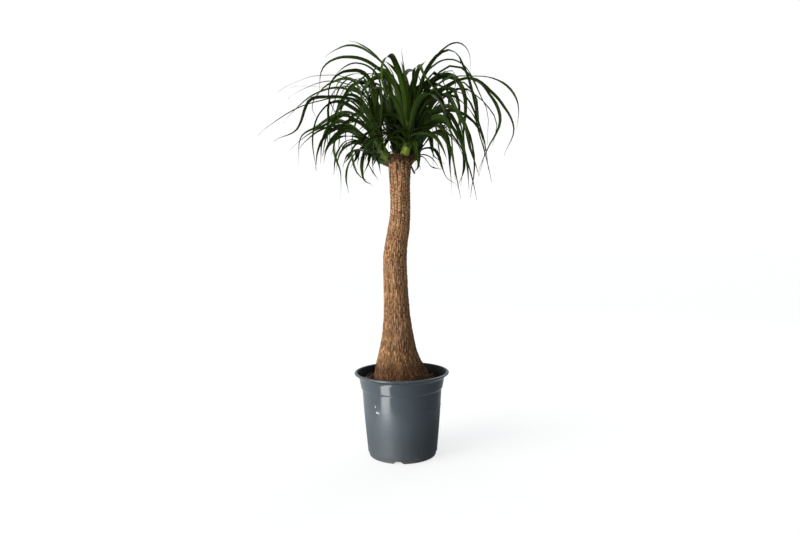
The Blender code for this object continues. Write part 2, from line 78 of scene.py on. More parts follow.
# %% [markdown]
# ## Selecting and pulling
# A bpy operator works on whatever is selected, and the frame arrives selected. Each step therefore starts
# with nothing selected and then picks its own piece. Round pieces are pulled as a potter pulls a wall: a
# filled circle is extruded ring by ring, and every ring is scaled to its radius. The filled circle travels
# along as the lid, so the shape is closed at each moment.

# %% Small helpers for selecting, adding and copying
def pick(piece):
    """Selects one piece alone and makes it the active one."""
    bpy.ops.object.select_all(action="DESELECT")
    piece.select_set(True)
    bpy.context.view_layer.objects.active = piece


def add(primitive, **settings):
    """Adds a primitive while nothing else is selected, and returns it."""
    bpy.ops.object.select_all(action="DESELECT")
    primitive(**settings)
    return bpy.context.object


def place_copy(pattern, move=Matrix()):
    """A copy of a piece with its own mesh, moved by a matrix."""
    copy = pattern.copy()
    copy.data = pattern.data.copy()
    copy.data.transform(move)
    bpy.context.scene.collection.objects.link(copy)
    return copy


def join(pieces):
    """Makes one piece of many and returns it."""
    bpy.ops.object.select_all(action="DESELECT")
    for piece in pieces:
        piece.select_set(True)
    bpy.context.view_layer.objects.active = pieces[0]
    bpy.ops.object.join()
    return bpy.context.object


def select_points(piece, wanted):
    """In edit mode, selects only the vertices whose place passes the test."""
    bpy.ops.mesh.select_mode(type="VERT")
    bpy.ops.mesh.select_all(action="DESELECT")
    shape = bmesh.from_edit_mesh(piece.data)
    for vertex in shape.verts:
        vertex.select_set(wanted(vertex.co))
    shape.select_flush_mode()
    bmesh.update_edit_mesh(piece.data)


# %% Small helpers for finishing a piece
def apply_modifier(piece, kind, **settings):
    """Adds a modifier with its settings and applies it at once."""
    pick(piece)
    modifier = piece.modifiers.new(kind.title(), kind)
    for setting, value in settings.items():
        setattr(modifier, setting, value)
    bpy.ops.object.modifier_apply(modifier=modifier.name)


def settle(piece, name, smooth_degrees):
    """Puts the piece's place into its mesh, names it and smooths every edge below the angle."""
    pick(piece)
    bpy.ops.object.transform_apply(location=True, rotation=True, scale=True)
    bpy.ops.object.shade_smooth_by_angle(angle=math.radians(smooth_degrees))
    piece.name = name
    piece.data.name = name
    print(f"{name}: {len(piece.data.polygons)} faces")
    return piece


# %% Pulling a closed round wall ring by ring
def pull_rings(rings, sides):
    """A closed shape through level rings, each given as (radius, height, sideways lean)."""
    radius, height, lean = rings[0]
    piece = add(
        bpy.ops.mesh.primitive_circle_add,
        vertices=sides, radius=radius, fill_type="NGON", location=(lean, 0, height),
    )
    bpy.ops.object.transform_apply(location=True)
    bpy.ops.object.mode_set(mode="EDIT")
    bpy.ops.mesh.select_all(action="SELECT")
    for new_radius, new_height, new_lean in rings[1:]:
        step = (new_lean - lean, 0, new_height - height)
        grow = new_radius / radius
        bpy.ops.mesh.extrude_region_move(TRANSFORM_OT_translate={"value": step})
        bpy.ops.transform.resize(value=(grow, grow, 1), center_override=(new_lean, 0, new_height))
        radius, height, lean = new_radius, new_height, new_lean
    bpy.ops.mesh.select_all(action="SELECT")
    bpy.ops.mesh.normals_make_consistent(inside=False)
    bpy.ops.object.mode_set(mode="OBJECT")
    return piece


# %% [markdown]
# ## Writing shader maths
# A node tree grows unreadable when each multiply and add is wired by hand. The small class below wraps a
# socket that carries a number, so that `0.4 + 0.1 * grain` adds its two Math nodes by itself. All other
# nodes come from one method that takes a type, its settings and the values or links of its sockets.

# %% A number in a shader
class Number:
    """A socket that carries a number. Python's +, - and * on it add Math nodes."""

    def __init__(self, finish, socket):
        self.finish = finish
        self.socket = socket

    def maths(self, operation, first, second):
        """One Math node on two values."""
        settings = {"operation": operation}
        return self.finish.number("ShaderNodeMath", settings, {0: first, 1: second})

    def __add__(self, other):
        return self.maths("ADD", self, other)

    def __radd__(self, other):
        return self.maths("ADD", other, self)

    def __sub__(self, other):
        return self.maths("SUBTRACT", self, other)

    def __rsub__(self, other):
        return self.maths("SUBTRACT", other, self)

    def __mul__(self, other):
        return self.maths("MULTIPLY", self, other)

    def __rmul__(self, other):
        return self.maths("MULTIPLY", other, self)


# %% A finish: one material and the nodes that feed it
class Finish:
    """A material in the making. Constants go straight to the shader's own sockets."""

    def __init__(self, name, **constants):
        self.material = bpy.data.materials.new(name)
        self.material.use_nodes = True
        self.tree = self.material.node_tree
        self.shader = self.tree.nodes["Principled BSDF"]
        for socket, value in constants.items():
            self.shader.inputs[socket.replace("_", " ")].default_value = value

    def node(self, kind, settings, sockets):
        """Any node: its type, its settings, then its sockets by name or number."""
        made = self.tree.nodes.new(kind)
        for setting, value in settings.items():
            setattr(made, setting, value)
        for key, value in sockets.items():
            self.feed(made.inputs[key], value)
        return made

    def feed(self, socket, value):
        """Puts a value on a socket, or links it if the value is itself a socket."""
        if isinstance(value, Number):
            value = value.socket
        if isinstance(value, bpy.types.NodeSocket):
            self.tree.links.new(value, socket)
        else:
            socket.default_value = value

    def number(self, kind, settings, sockets, output=0):
        """A node whose output is used as a number."""
        return Number(self, self.node(kind, settings, sockets).outputs[output])

    def mix(self, share, first, second):
        """One colour turning into another. Plain colours are given as (red, green, blue)."""
        ends = [
            value if isinstance(value, bpy.types.NodeSocket) else (*value, 1) for value in (first, second)
        ]
        settings = {"data_type": "RGBA"}
        return self.node("ShaderNodeMix", settings, {0: share, 6: ends[0], 7: ends[1]}).outputs[2]

    def paint(self, colour, *coats):
        """Lays coats over a colour, one after another, each given as (share, colour)."""
        for share, over in coats:
            colour = self.mix(share, colour, over)
        return colour

    def rise(self, value, low, high):
        """0 below low, 1 above high and a smooth rise between; a high under low gives a fall."""
        sockets = {"Value": value, "From Min": low, "From Max": high}
        return self.number("ShaderNodeMapRange", {"interpolation_type": "SMOOTHSTEP"}, sockets)

    def places(self, stretch=(1, 1, 1)):
        """The point on the piece, with each axis stretched."""
        at = self.node("ShaderNodeTexCoord", {}, {}).outputs["Object"]
        return self.node("ShaderNodeMapping", {}, {"Vector": at, "Scale": stretch}).outputs[0]

    def noise(self, at, scale, detail=3.0, roughness=0.55):
        """Noise at a place, mostly from 0.3 to 0.7."""
        sockets = {"Vector": at, "Scale": scale, "Detail": detail, "Roughness": roughness}
        return self.number("ShaderNodeTexNoise", {}, sockets)

    def attribute(self, name):
        """A number that the mesh carries under a name."""
        return self.number("ShaderNodeAttribute", {"attribute_name": name}, {}, output=2)

    def finish(self, colour, roughness, height, depth):
        """Feeds the shader: colour, roughness, and a relief whose full height is depth."""
        self.feed(self.shader.inputs["Base Color"], colour)
        self.feed(self.shader.inputs["Roughness"], roughness)
        bump = self.node("ShaderNodeBump", {}, {"Height": height, "Strength": 1.0, "Distance": depth})
        self.feed(self.shader.inputs["Normal"], bump.outputs[0])
        print(f"{self.material.name}: {len(self.tree.nodes)} nodes")
        return self.material


def wear(piece, material):
    """Makes a material the only one of a piece."""
    piece.data.materials.clear()
    piece.data.materials.append(material)


# %% [markdown]
# ## The studio
# The plant stands on a pale floor in soft light. A broad soft lamp at the front left lights bark and leaves,
# a weaker one behind draws a thin bright edge on the crown, and a surround that is lighter on the left keeps
# the shadows open. A tall bright window, seen only in reflections, gives the pot its upright highlight. A
# pale dome, seen by the camera alone, is the plain background: a real white room would throw light on the
# plant's dark side and wash it out.

# %% The camera stands in front, a little under the crown, and looks slightly down
CAMERA_PLACE = (0.0, -1.511, 0.533)
CAMERA_TILT_DOWN = 2.2
CAMERA_ROLL = 0.77
CAMERA_LENS_MM = 26.87

camera_data = bpy.data.cameras.new("camera")
camera_data.lens = CAMERA_LENS_MM
camera = bpy.data.objects.new("camera", camera_data)
camera.location = CAMERA_PLACE
camera.rotation_euler = (math.radians(90 - CAMERA_TILT_DOWN), math.radians(CAMERA_ROLL), 0)
bpy.context.scene.collection.objects.link(camera)
bpy.context.scene.camera = camera
bpy.context.scene.view_settings.view_transform = "Standard"
print(f"camera {-CAMERA_PLACE[1]:.2f} m away, {CAMERA_LENS_MM} mm lens")

# %% The surround and the two lamps
def add_lamp(name, kind, place, target, energy, **settings):
    """A lamp at a place, turned so that it shines at the target and hidden from the camera."""
    data = bpy.data.lights.new(name, kind)
    data.energy = energy
    for setting, value in settings.items():
        setattr(data, setting, value)
    lamp = bpy.data.objects.new(name, data)
    lamp.location = place
    lamp.rotation_euler = (Vector(target) - Vector(place)).to_track_quat("-Z", "Y").to_euler()
    lamp.visible_camera = False
    bpy.context.scene.collection.objects.link(lamp)


SURROUND_COLOUR = (0.92, 0.96, 1.0, 1)
LEFT_LIGHT = 0.95
RIGHT_LIGHT = 0.16
surround = bpy.data.worlds.new("surround")
surround.use_nodes = True
bpy.context.scene.world = surround
nodes = surround.node_tree.nodes
nodes["Background"].inputs["Color"].default_value = SURROUND_COLOUR
facing = nodes.new("ShaderNodeSeparateXYZ")
fade = nodes.new("ShaderNodeMapRange")
for socket, value in (("From Min", -1), ("From Max", 1), ("To Min", LEFT_LIGHT), ("To Max", RIGHT_LIGHT)):
    fade.inputs[socket].default_value = value
wires = surround.node_tree.links
wires.new(nodes.new("ShaderNodeTexCoord").outputs["Generated"], facing.inputs[0])
wires.new(facing.outputs["X"], fade.inputs["Value"])
wires.new(fade.outputs[0], nodes["Background"].inputs["Strength"])

CROWN = (0, 0, 0.85)
BODY = (0, 0, 0.35)
add_lamp(
    "broad_lamp", "SUN", place=(-2.4, -1.4, 1.35), target=BODY, energy=2.5,
    angle=math.radians(45), color=(1, 0.97, 0.93),
)
add_lamp(
    "back_lamp", "AREA", place=(1.4, 2.0, 2.0), target=CROWN, energy=12, shape="DISK", size=1.6
)
print(f"surround {LEFT_LIGHT} on the left and {RIGHT_LIGHT} on the right, two lamps")

# %% The floor and the background dome
def glowing(name, colour, glow):
    """A plain pale stage finish that gives part of its brightness itself, which softens shadows on it."""
    finish = Finish(name, Roughness=0.9, Emission_Strength=glow)
    finish.shader.inputs["Emission Color"].default_value = (1, 1, 1, 1)
    finish.shader.inputs["Base Color"].default_value = (*colour, 1)
    return finish.material


BLACK = (0, 0, 0)
FLOOR_GREY = (0.34, 0.34, 0.34)
FLOOR_GLOW = 0.7
DOME_GLOW = 1.0
FLOOR_GAP = 0.0003
FLOOR_RADIUS = 30
DOME_RADIUS = FLOOR_RADIUS * 1.02
floor = add(
    bpy.ops.mesh.primitive_circle_add,
    vertices=64, radius=FLOOR_RADIUS, fill_type="NGON", location=(0, 0, cad_low.z - FLOOR_GAP),
)
floor.name = "floor"
wear(floor, glowing("floor_pale", FLOOR_GREY, FLOOR_GLOW))
dome = add(bpy.ops.mesh.primitive_uv_sphere_add, segments=48, ring_count=24, radius=DOME_RADIUS)
dome.name = "dome"
wear(dome, glowing("dome_pale", BLACK, DOME_GLOW))
for thing in (floor, dome):
    thing.visible_diffuse = False
    thing.visible_glossy = False
dome.visible_shadow = False
print(f"floor and dome reach {FLOOR_RADIUS} m from the plant")

# %% The tall bright window that shiny surfaces mirror
WINDOW_BEARING = math.radians(48)
WINDOW_DISTANCE = 1.4
WINDOW_SIZE = (0.66, 4.6)
WINDOW_MIDDLE_HEIGHT = -0.7
WINDOW_GLOW = 8.0
window_place = Vector((-math.sin(WINDOW_BEARING), -math.cos(WINDOW_BEARING), 0)) * WINDOW_DISTANCE
window_place.z = WINDOW_MIDDLE_HEIGHT
window = add(
    bpy.ops.mesh.primitive_plane_add,
    size=1, location=window_place, rotation=(math.pi / 2, 0, -WINDOW_BEARING),
)
window.scale = (*WINDOW_SIZE, 1)
bpy.ops.object.transform_apply(location=True, rotation=True, scale=True)
window.name = "window"
wear(window, glowing("window_pale", BLACK, WINDOW_GLOW))
window.data.materials[0].cycles.emission_sampling = "NONE"
window.visible_camera = False
window.visible_diffuse = False
window.visible_shadow = False
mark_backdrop(floor, dome, window)
print("stage: floor, dome and window")

# %% [markdown]
# ## The pot
# A nursery pot is injection moulded: a thin tapered wall, a wider collar band, a lip rolled outward for
# stiffness, and a foot ring with gaps that let water out. It could be a spun outline or a pulled wall.
# Pulling is used, because every ring can then be named by the part of the mould that made it. The gaps and
# the drain holes are cut with a Boolean, as the mould's cores do.

# %% The sizes of the pot
RIM_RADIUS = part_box("pot")[1].x
RIM_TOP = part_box("pot")[1].z
FOOT_HEIGHT = 0.0108
BODY_TOP = 0.1675
FOOT_RADIUS = 0.0880
BODY_TOP_RADIUS = 0.1008
BODY_BOW = 0.0008
RIDGE_HEIGHT = 0.125
RIDGE_RISE = 0.0005
RIDGE_WIDTH = 0.0022
WALL = 0.0022
INSIDE_FLOOR = 0.0088
BODY_RINGS = 60
POT_SIDES = 160
print(f"rim {2 * RIM_RADIUS / MM:.0f} mm across and {RIM_TOP / MM:.0f} mm above the floor")


def body_radius(height):
    """The tapered wall: a slight outward bow, and one low moulded ridge."""
    share = (height - FOOT_HEIGHT) / (BODY_TOP - FOOT_HEIGHT)
    ridge = RIDGE_RISE * math.exp(-(((height - RIDGE_HEIGHT) / RIDGE_WIDTH) ** 2))
    bow = BODY_BOW * 4 * share * (1 - share)
    return FOOT_RADIUS + (BODY_TOP_RADIUS - FOOT_RADIUS) * share + bow + ridge


# %% The outline of the pot, from under its floor round the lip to the floor inside
def in_metres(*points_mm):
    """Turns (radius, height) points in millimetres into rings without a lean."""
    return [(radius * MM, height * MM, 0) for radius, height in points_mm]


foot = in_metres(
    (5, 6.2), (66, 6.2), (71.4, 6), (72, 5.2), (72.4, 0.5), (73, 0),
    (84.0, 0), (84.7, 0.3), (84.9, 2.5), (85.0, 8.2), (85.4, 9.0), (88.3, 10.6),
)
body_heights = [
    FOOT_HEIGHT + (BODY_TOP - FOOT_HEIGHT) * i / BODY_RINGS for i in range(BODY_RINGS + 1)
]
body = [(body_radius(height), height, 0) for height in body_heights]
collar = in_metres(
    (101.5, 168.6), (103.4, 170.6), (103.9, 171.4), (104.1, 172.6), (105.1, 178), (106.3, 184.5),
    (107.4, 190.5), (108.1, 194.2), (108.9, 196.8), (110.2, 199.1), (112.6, 201.3), (115.6, 203.2),
    (118.2, 204.7),
)
lip_from_rim_mm = (
    (0.7, 4.4), (0.2, 3.7), (0, 2.9), (0.1, 2.1), (0.5, 1.3), (1.3, 0.6), (2.4, 0.15), (3.6, 0),
    (5, 0.1), (6.2, 0.6), (7.3, 1.4), (8.2, 2.6), (9.4, 4.9), (11, 8.4), (13, 12.6),
)
lip = [(RIM_RADIUS - inset * MM, RIM_TOP - drop * MM, 0) for inset, drop in lip_from_rim_mm]
inside_collar = in_metres((104.9, 191), (103, 182.3), (101.5, 175.4), (100.2, 171.4), (98.9, 167.5))
inside_body = [(body_radius(z) - WALL, z, 0) for z in (0.150, 0.120, 0.090, 0.060, 0.030, 0.014)]
inside_floor = [(0.0845, INSIDE_FLOOR + 0.0012, 0), (0.0830, INSIDE_FLOOR, 0), (0.005, INSIDE_FLOOR, 0)]
outline = foot + body + collar + lip + inside_collar + inside_body + inside_floor
pot = pull_rings(outline, POT_SIDES)
print(f"pot pulled through {len(outline)} rings")

# %% The gaps in the foot ring and the drain holes
NOTCH_COUNT = 3
DRAIN_HOLE_COUNT = 6
FIRST_NOTCH = math.radians(-97.5)
NOTCH_RING = 0.081
NOTCH_MM = (26, 42, 11)
NOTCH_HEIGHT = NOTCH_MM[2] / 2 * MM
NOTCH_TOP_SHARE = 0.26
DRAIN_RING = 0.060
DRAIN_RADIUS = 0.005
DRAIN_DEPTH = 0.020
DRAIN_MIDDLE = 0.0075


def cut_from_pot(cutter, count):
    """Copies a cutter round the foot and takes all the copies out of the pot's wall."""
    turns = [Matrix.Rotation(FIRST_NOTCH + math.tau * i / count, 4, "Z") for i in range(count)]
    copies = [place_copy(cutter, turn) for turn in turns]
    bpy.data.objects.remove(cutter)
    cutters = join(copies)
    apply_modifier(pot, "BOOLEAN", operation="DIFFERENCE", object=cutters, solver="EXACT")
    bpy.data.objects.remove(cutters)


notch = add(
    bpy.ops.mesh.primitive_cube_add,
    size=1, location=(NOTCH_RING, 0, 0), scale=[side * MM for side in NOTCH_MM],
)
bpy.ops.object.transform_apply(location=True, scale=True)
bpy.ops.object.mode_set(mode="EDIT")
select_points(notch, lambda place: place.z > 0)
bpy.ops.transform.resize(
    value=(1, NOTCH_TOP_SHARE, 1), center_override=(NOTCH_RING, 0, NOTCH_HEIGHT)
)
bpy.ops.object.mode_set(mode="OBJECT")
cut_from_pot(notch, NOTCH_COUNT)
drain = add(
    bpy.ops.mesh.primitive_cylinder_add,
    vertices=24, radius=DRAIN_RADIUS, depth=DRAIN_DEPTH, location=(DRAIN_RING, 0, DRAIN_MIDDLE),
)
bpy.ops.object.transform_apply(location=True)
cut_from_pot(drain, DRAIN_HOLE_COUNT)
settle(pot, "pot_moulded", smooth_degrees=30)

# %% [markdown]
# ### Pot finish
# Recycled polypropylene is a slate grey with a slightly bluish cast. It comes out of the mould glossy, then
# dulls unevenly: fine scuffs, dried water marks under the lip, a dusting of soil at the foot and a couple of
# white chips. All of that sits in colour and roughness, over a very shallow ripple left by the mould.

# %% Slate grey plastic with handling wear, and painted shade that darkens it towards the foot
# The middle of each white mark and how far it reaches.
MARKS = (
    ((-0.0610, -0.0766, 0.1245), 0.0044),
    ((-0.0565, -0.0800, 0.1235), 0.0034),
    ((-0.0655, -0.0742, 0.1370), 0.0028),
    ((-0.0655, -0.0745, 0.1400), 0.0024),
)
plastic = Finish("pot_slate_plastic", IOR=1.5)
at = plastic.places()
height = plastic.number("ShaderNodeSeparateXYZ", {}, {0: at}, output=2)
cloud = plastic.noise(at, 14, detail=4)
scuffs = plastic.rise(plastic.noise(plastic.places((1, 1, 0.18)), 160, detail=5), 0.58, 0.76)
streaks = plastic.rise(plastic.noise(plastic.places((1, 1, 0.06)), 42, detail=2), 0.5, 0.8)
dust = plastic.rise(height, 0.030, 0.0) * plastic.rise(plastic.noise(at, 60, detail=5), 0.35, 0.7)
limescale = plastic.rise(height, 0.188, 0.205) * plastic.rise(plastic.noise(at, 90, detail=4), 0.55, 0.80)
chips = plastic.rise(plastic.noise(at, 210, detail=1), 0.800, 0.815)
rubbed = plastic.noise(at, 950, detail=2)
handled = plastic.rise(height, 0.165, 0.068) * (0.35 + 1.3 * rubbed)
slate = plastic.paint(
    plastic.mix(cloud, (0.057, 0.075, 0.087), (0.073, 0.093, 0.105)),
    # Painted shade: the wall turns darker towards the foot.
    (0.85 * plastic.rise(height, 0.130, 0.030), (0.036, 0.046, 0.052)),
    (0.20 * scuffs, (0.12, 0.14, 0.15)),
    (0.12 * streaks, (0.10, 0.12, 0.125)),
    (0.35 * dust, (0.19, 0.15, 0.115)),
    (0.25 * limescale, (0.36, 0.37, 0.36)),
    (0.60 * chips, (0.65, 0.66, 0.66)),
)
for centre, reach in MARKS:
    apart = plastic.node("ShaderNodeVectorMath", {"operation": "DISTANCE"}, {0: at, 1: centre})
    distance = Number(plastic, apart.outputs["Value"])
    mark = plastic.rise(distance + 0.0012 * cloud, reach, reach * 0.6)
    slate = plastic.mix(0.85 * mark, slate, (0.72, 0.74, 0.75))
gloss = 0.10 + 0.05 * cloud + 0.10 * scuffs + 0.25 * dust + 0.12 * limescale + 0.46 * handled
ripple = plastic.noise(plastic.places((1, 1, 0.4)), 38, detail=2) + 0.08 * plastic.noise(at, 900, detail=1)
wear(pot, plastic.finish(slate, gloss, ripple, depth=0.0003))

# %% The wall's inside is a darker, duller skin of the same plastic, painted near black also as the shade in the pot's hollow
LIP_CREST = 0.0007
FACES_IN = -0.2
INNERMOST_WALL = FOOT_RADIUS - 0.009
inner = Finish("pot_inside_dark_and_shaded", Specular_IOR_Level=0.10)
at = inner.places()
# Near black: the inner plastic's own darker colour, deepened by painted shade in the hollow.
black = inner.paint(
    inner.mix(inner.noise(at, 30), (0.0030, 0.0036, 0.0040), (0.0075, 0.0085, 0.0090)),
    (0.5 * inner.rise(inner.noise(at, 300, detail=4), 0.62, 0.8), (0.045, 0.028, 0.019)),
)
dull = 0.45 + 0.2 * inner.noise(at, 80)
pot.data.materials.append(inner.finish(black, dull, inner.noise(at, 60), depth=0.0003))
for face in pot.data.polygons:
    outwards = face.center.xy.normalized()
    on_the_wall = face.center.xy.length > INNERMOST_WALL and RIM_TOP - face.center.z > LIP_CREST
    if on_the_wall and face.normal.xy.dot(outwards) < FACES_IN:
        face.material_index = 1
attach(pot, "root")
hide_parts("pot")

# %% [markdown]
# ## The soil
# Potting soil is coir and composted bark: a lumpy dark surface with chips, crumbs and fibres lying on it. A
# particle system could strew them, but a part has to be plain meshes. So the surface is a pulled round
# shape whose top rings are moved by noise, and a chip, a crumb and a fibre are modelled once and copied
# over it.

# %% The body of the soil, closed down to the pot's floor
SOIL_LEVEL = 0.188
LUMPS_SINK = 0.0012
SOIL_MOUND = 0.003
MOUND_WIDTH = 0.018
SOIL_EDGE = 0.1004
SOIL_SLACK = 0.0009
SOIL_SIDES = 160
TOP_RINGS = 40
EDGE_ROUNDING = 0.0008
TOP_REACH = 0.096


def soil_height(radius):
    """The top rises a little from the pot's wall towards the trunk. The lumps come on top of it."""
    mound = SOIL_MOUND * min(1.0, max(0.0, (SOIL_EDGE - radius) / MOUND_WIDTH))
    return SOIL_LEVEL + mound - LUMPS_SINK


def in_the_pot(height):
    """The radius of the soil where it lies against the pot's wall, with a little slack."""
    return body_radius(height) - WALL - SOIL_SLACK


lowest = INSIDE_FLOOR + SOIL_SLACK
soil_rings = [(0.010, lowest, 0), (in_the_pot(lowest) - 0.003, lowest, 0)]
soil_rings += [(in_the_pot(height), height, 0) for height in (0.014, 0.05, 0.09, 0.13, 0.16)]
soil_rings += [(SOIL_EDGE - 0.0006, 0.176, 0), (SOIL_EDGE, 0.184, 0)]
for i in range(TOP_RINGS):
    radius = SOIL_EDGE - EDGE_ROUNDING - TOP_REACH * i / (TOP_RINGS - 1)
    soil_rings.append((radius, soil_height(radius), 0))
soil = pull_rings(soil_rings, SOIL_SIDES)
print(f"soil pulled through {len(soil_rings)} rings")

# %% Noise lifts and sinks the surface
LUMPS = ((0.0022, 55), (0.0012, 140), (0.0006, 330))
BANK_HEIGHT = 0.0055
BANK_STARTS = 0.045
BANK_WIDTH = 0.035
LOOSE_ABOVE = 0.180
WALL_HOLDS_WITHIN = 0.004
LUMPS_AT_WALL = 0.6


def lumpy(place):
    """How far the soil's surface stands off its smooth shape at a place: lumps, and a bank on the left."""
    bank = min(1.0, max(0.0, (-place.x - BANK_STARTS) / BANK_WIDTH))
    return BANK_HEIGHT * bank + sum(size * noise.noise(place * scale) for size, scale in LUMPS)


for vertex in soil.data.vertices:
    if vertex.co.z > LOOSE_ABOVE:
        from_wall = min(1.0, (SOIL_EDGE - vertex.co.xy.length) / WALL_HOLDS_WITHIN)
        vertex.co.z += lumpy(vertex.co) * (LUMPS_AT_WALL + (1 - LUMPS_AT_WALL) * from_wall)
settle(soil, "soil_body", smooth_degrees=50)

# %% One chip, one crumb and one fibre
BELLY_WIDTH, BELLY_AT, BELLY_RISE = 1.15, 0.55, 0.1
END_RISE = 0.25


def small_solid(sides, length, width, thickness, taper):
    """A short closed prism, narrower at its far end, lying along X with its middle at the origin."""
    start = (width / 2, 0, 0)
    belly = (width / 2 * BELLY_WIDTH, length * BELLY_AT, BELLY_RISE * width)
    end = (width / 2 * taper, length, END_RISE * width)
    piece = pull_rings([start, belly, end], sides)
    flat = Matrix.Diagonal((1, thickness / width, 1, 1))
    lay_down = Matrix.Rotation(math.pi / 2, 4, "Y")
    piece.data.transform(lay_down @ flat @ Matrix.Translation((0, 0, -length / 2)))
    return piece


chip = small_solid(sides=5, length=0.0085, width=0.0055, thickness=0.0018, taper=0.6)
crumb = small_solid(sides=6, length=0.0036, width=0.0040, thickness=0.0032, taper=0.5)
fibre = small_solid(sides=3, length=0.0170, width=0.0008, thickness=0.0008, taper=0.4)
print("faces:", [len(piece.data.polygons) for piece in (chip, crumb, fibre)])

# %% Strew them over the surface
def keep(piece, name, values):
    """Stores one number per vertex under a name that a finish can read."""
    piece.data.attributes.new(name, "FLOAT", "POINT").data.foreach_set("value", values.astype(np.float32))


STREWN = ((chip, 150), (crumb, 230), (fibre, 90))
TRUNK_EDGE = 0.071
WALL_MARGIN = 0.003
LIES_ABOVE = (0.0002, 0.0012)
MOST_ROLL = 0.45
MOST_PITCH = 0.30
LITTER_SIZE = (0.55, 1.3)
draw = random.Random(11)
litter = []
for pattern, count in STREWN:
    for _ in range(count):
        radius = math.sqrt(draw.uniform(TRUNK_EDGE**2, (SOIL_EDGE - WALL_MARGIN) ** 2))
        bearing = draw.uniform(0, math.tau)
        place = Vector((radius * math.cos(bearing), radius * math.sin(bearing), soil_height(radius)))
        place.z += lumpy(place) + draw.uniform(*LIES_ABOVE)
        roll = Matrix.Rotation(draw.uniform(-MOST_ROLL, MOST_ROLL), 4, "X")
        lean = roll @ Matrix.Rotation(draw.uniform(-MOST_PITCH, MOST_PITCH), 4, "Y")
        size = Matrix.Scale(draw.uniform(*LITTER_SIZE), 4)
        turn = Matrix.Rotation(draw.uniform(0, math.tau), 4, "Z")
        copy = place_copy(pattern, Matrix.Translation(place) @ turn @ lean @ size)
        keep(copy, "tone", np.full(len(copy.data.vertices), draw.random()))
        litter.append(copy)
for pattern in (chip, crumb, fibre):
    bpy.data.objects.remove(pattern)
soil_litter = settle(join(litter), "soil_litter", smooth_degrees=40)

# %% [markdown]
# ### Soil finish
# Damp coir is dark red-brown and dull, and dry crumbs on it are paler. The soil body takes its change of
# colour from noise, and the litter from a tone that each copy carries, so that neighbours differ.

# %% Damp coir and pale chips
def soil_finish(name, pale_share):
    """Soil that turns paler with the tone a piece carries, as far as the share allows."""
    earth = Finish(name, Specular_IOR_Level=0.25)
    at = earth.places()
    grain = earth.noise(at, 420, detail=4)
    patch = earth.noise(at, 38, detail=3)
    colour = earth.paint(
        earth.mix(patch, (0.010, 0.0050, 0.0032), (0.036, 0.016, 0.009)),
        (0.6 * earth.rise(grain, 0.48, 0.72), (0.085, 0.040, 0.022)),
        (pale_share * earth.rise(earth.attribute("tone"), 0.45, 1.0), (0.30, 0.20, 0.125)),
    )
    return earth.finish(colour, 0.82 + 0.14 * grain, grain, depth=0.0008)


wear(soil, soil_finish("soil_damp_coir", pale_share=0.0))
wear(soil_litter, soil_finish("soil_loose_chips", pale_share=0.75))
for piece in (soil, soil_litter):
    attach(piece, "root")
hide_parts("soil")

# %% [markdown]
# ## The trunk
# A ponytail palm stores water in a swollen foot and has thick corky bark. High up the bark splits into
# small upright blocks in columns, and lower down, where the trunk has swollen, long plates and threads fan
# out to the soil. The body is pulled through the rings of the CAD trunk and then divided finely. No brush
# or texture can place the cracks in columns, so the relief is worked out in code, vertex by vertex, and the
# same numbers are kept as attributes for the colours.

# %% Read the level rings of the CAD trunk
def level_rings(node):
    """(height, lean, radius) of each level ring of a node, from the lowest up."""
    levels = {}
    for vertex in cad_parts[node].data.vertices:
        levels.setdefault(round(vertex.co.z, 4), []).append(vertex.co.x)
    return [(z, (max(xs) + min(xs)) / 2, (max(xs) - min(xs)) / 2) for z, xs in sorted(levels.items())]


trunk_levels = level_rings("trunk")
level_z, level_lean, level_radius = (np.array(column) for column in zip(*trunk_levels))
print(f"trunk read from {len(trunk_levels)} rings, {level_z[0]:.3f} to {level_z[-1]:.3f} m")

# %% Draw it slimmer between the soil and the crown, because the plates of the bark stand proud of it
PLATES_PROUD = 0.0015
SLIM_BETWEEN = ((0.21, 0.26, 0.72, 0.75), (0, 1, 1, 0))
bare = PLATES_PROUD * np.interp(level_z, *SLIM_BETWEEN)
level_radius = level_radius - bare
level_lean = level_lean - bare
print(f"drawn in by {PLATES_PROUD / MM} mm")

# %% Pull the trunk and divide it finely
SHOULDER = 0.729
TOP_RADIUS = 0.030
CAGE_SIDES = 32
CAGE_RINGS = 38
RING_GAP = 0.002
cage_z = list(np.linspace(level_z[0], SHOULDER, CAGE_RINGS))
cage_z += [z for z in level_z if z > SHOULDER + RING_GAP]
cage_radius = np.interp(cage_z, level_z, level_radius)
cage_lean = np.interp(cage_z, level_z, level_lean)
cage = [tuple(map(float, ring)) for ring in zip(cage_radius, cage_z, cage_lean)]
trunk = pull_rings(cage, CAGE_SIDES)
apply_modifier(trunk, "SUBSURF", levels=3, render_levels=3)
settle(trunk, "trunk_bark", smooth_degrees=180)

# %% Where each vertex lies: its turn round the trunk, its height and its distance from the middle
flat = np.empty(len(trunk.data.vertices) * 3)
trunk.data.vertices.foreach_get("co", flat)
places = flat.reshape(-1, 3)
up = places[:, 2]
outward = places[:, 0] - np.interp(up, level_z, level_lean)
radius = np.hypot(outward, places[:, 1])
turn = np.arctan2(places[:, 1], outward) / math.tau % 1
print(f"{len(up)} vertices, up to {radius.max() / MM:.0f} mm from the middle")


def along(*pairs):
    """A value that changes with height, given as (height, value) pairs."""
    return np.interp(up, *zip(*pairs))


def noise_at(scale_round, scale_up):
    """Noise at each vertex, with its own scale round the trunk and up it."""
    scaled = places * (scale_round, scale_round, scale_up)
    return np.array([noise.noise(Vector(place)) for place in scaled])


# %% The column and the course that each vertex belongs to; both wander a little, as the bark does
COLUMNS = 18
BLOCK_HEIGHT = 0.0094
COLUMN_WANDERS = ((0.75, 16, 11), (0.30, 60, 34))
COURSE_WANDERS = ((1.30, 34, 30), (0.35, 95, 90))


def wander(values, wanders):
    """Adds noise to values. A wander is its size, its scale round the trunk and its scale up it."""
    for size, scale_round, scale_up in wanders:
        values = values + size * noise_at(scale_round, scale_up)
    return values


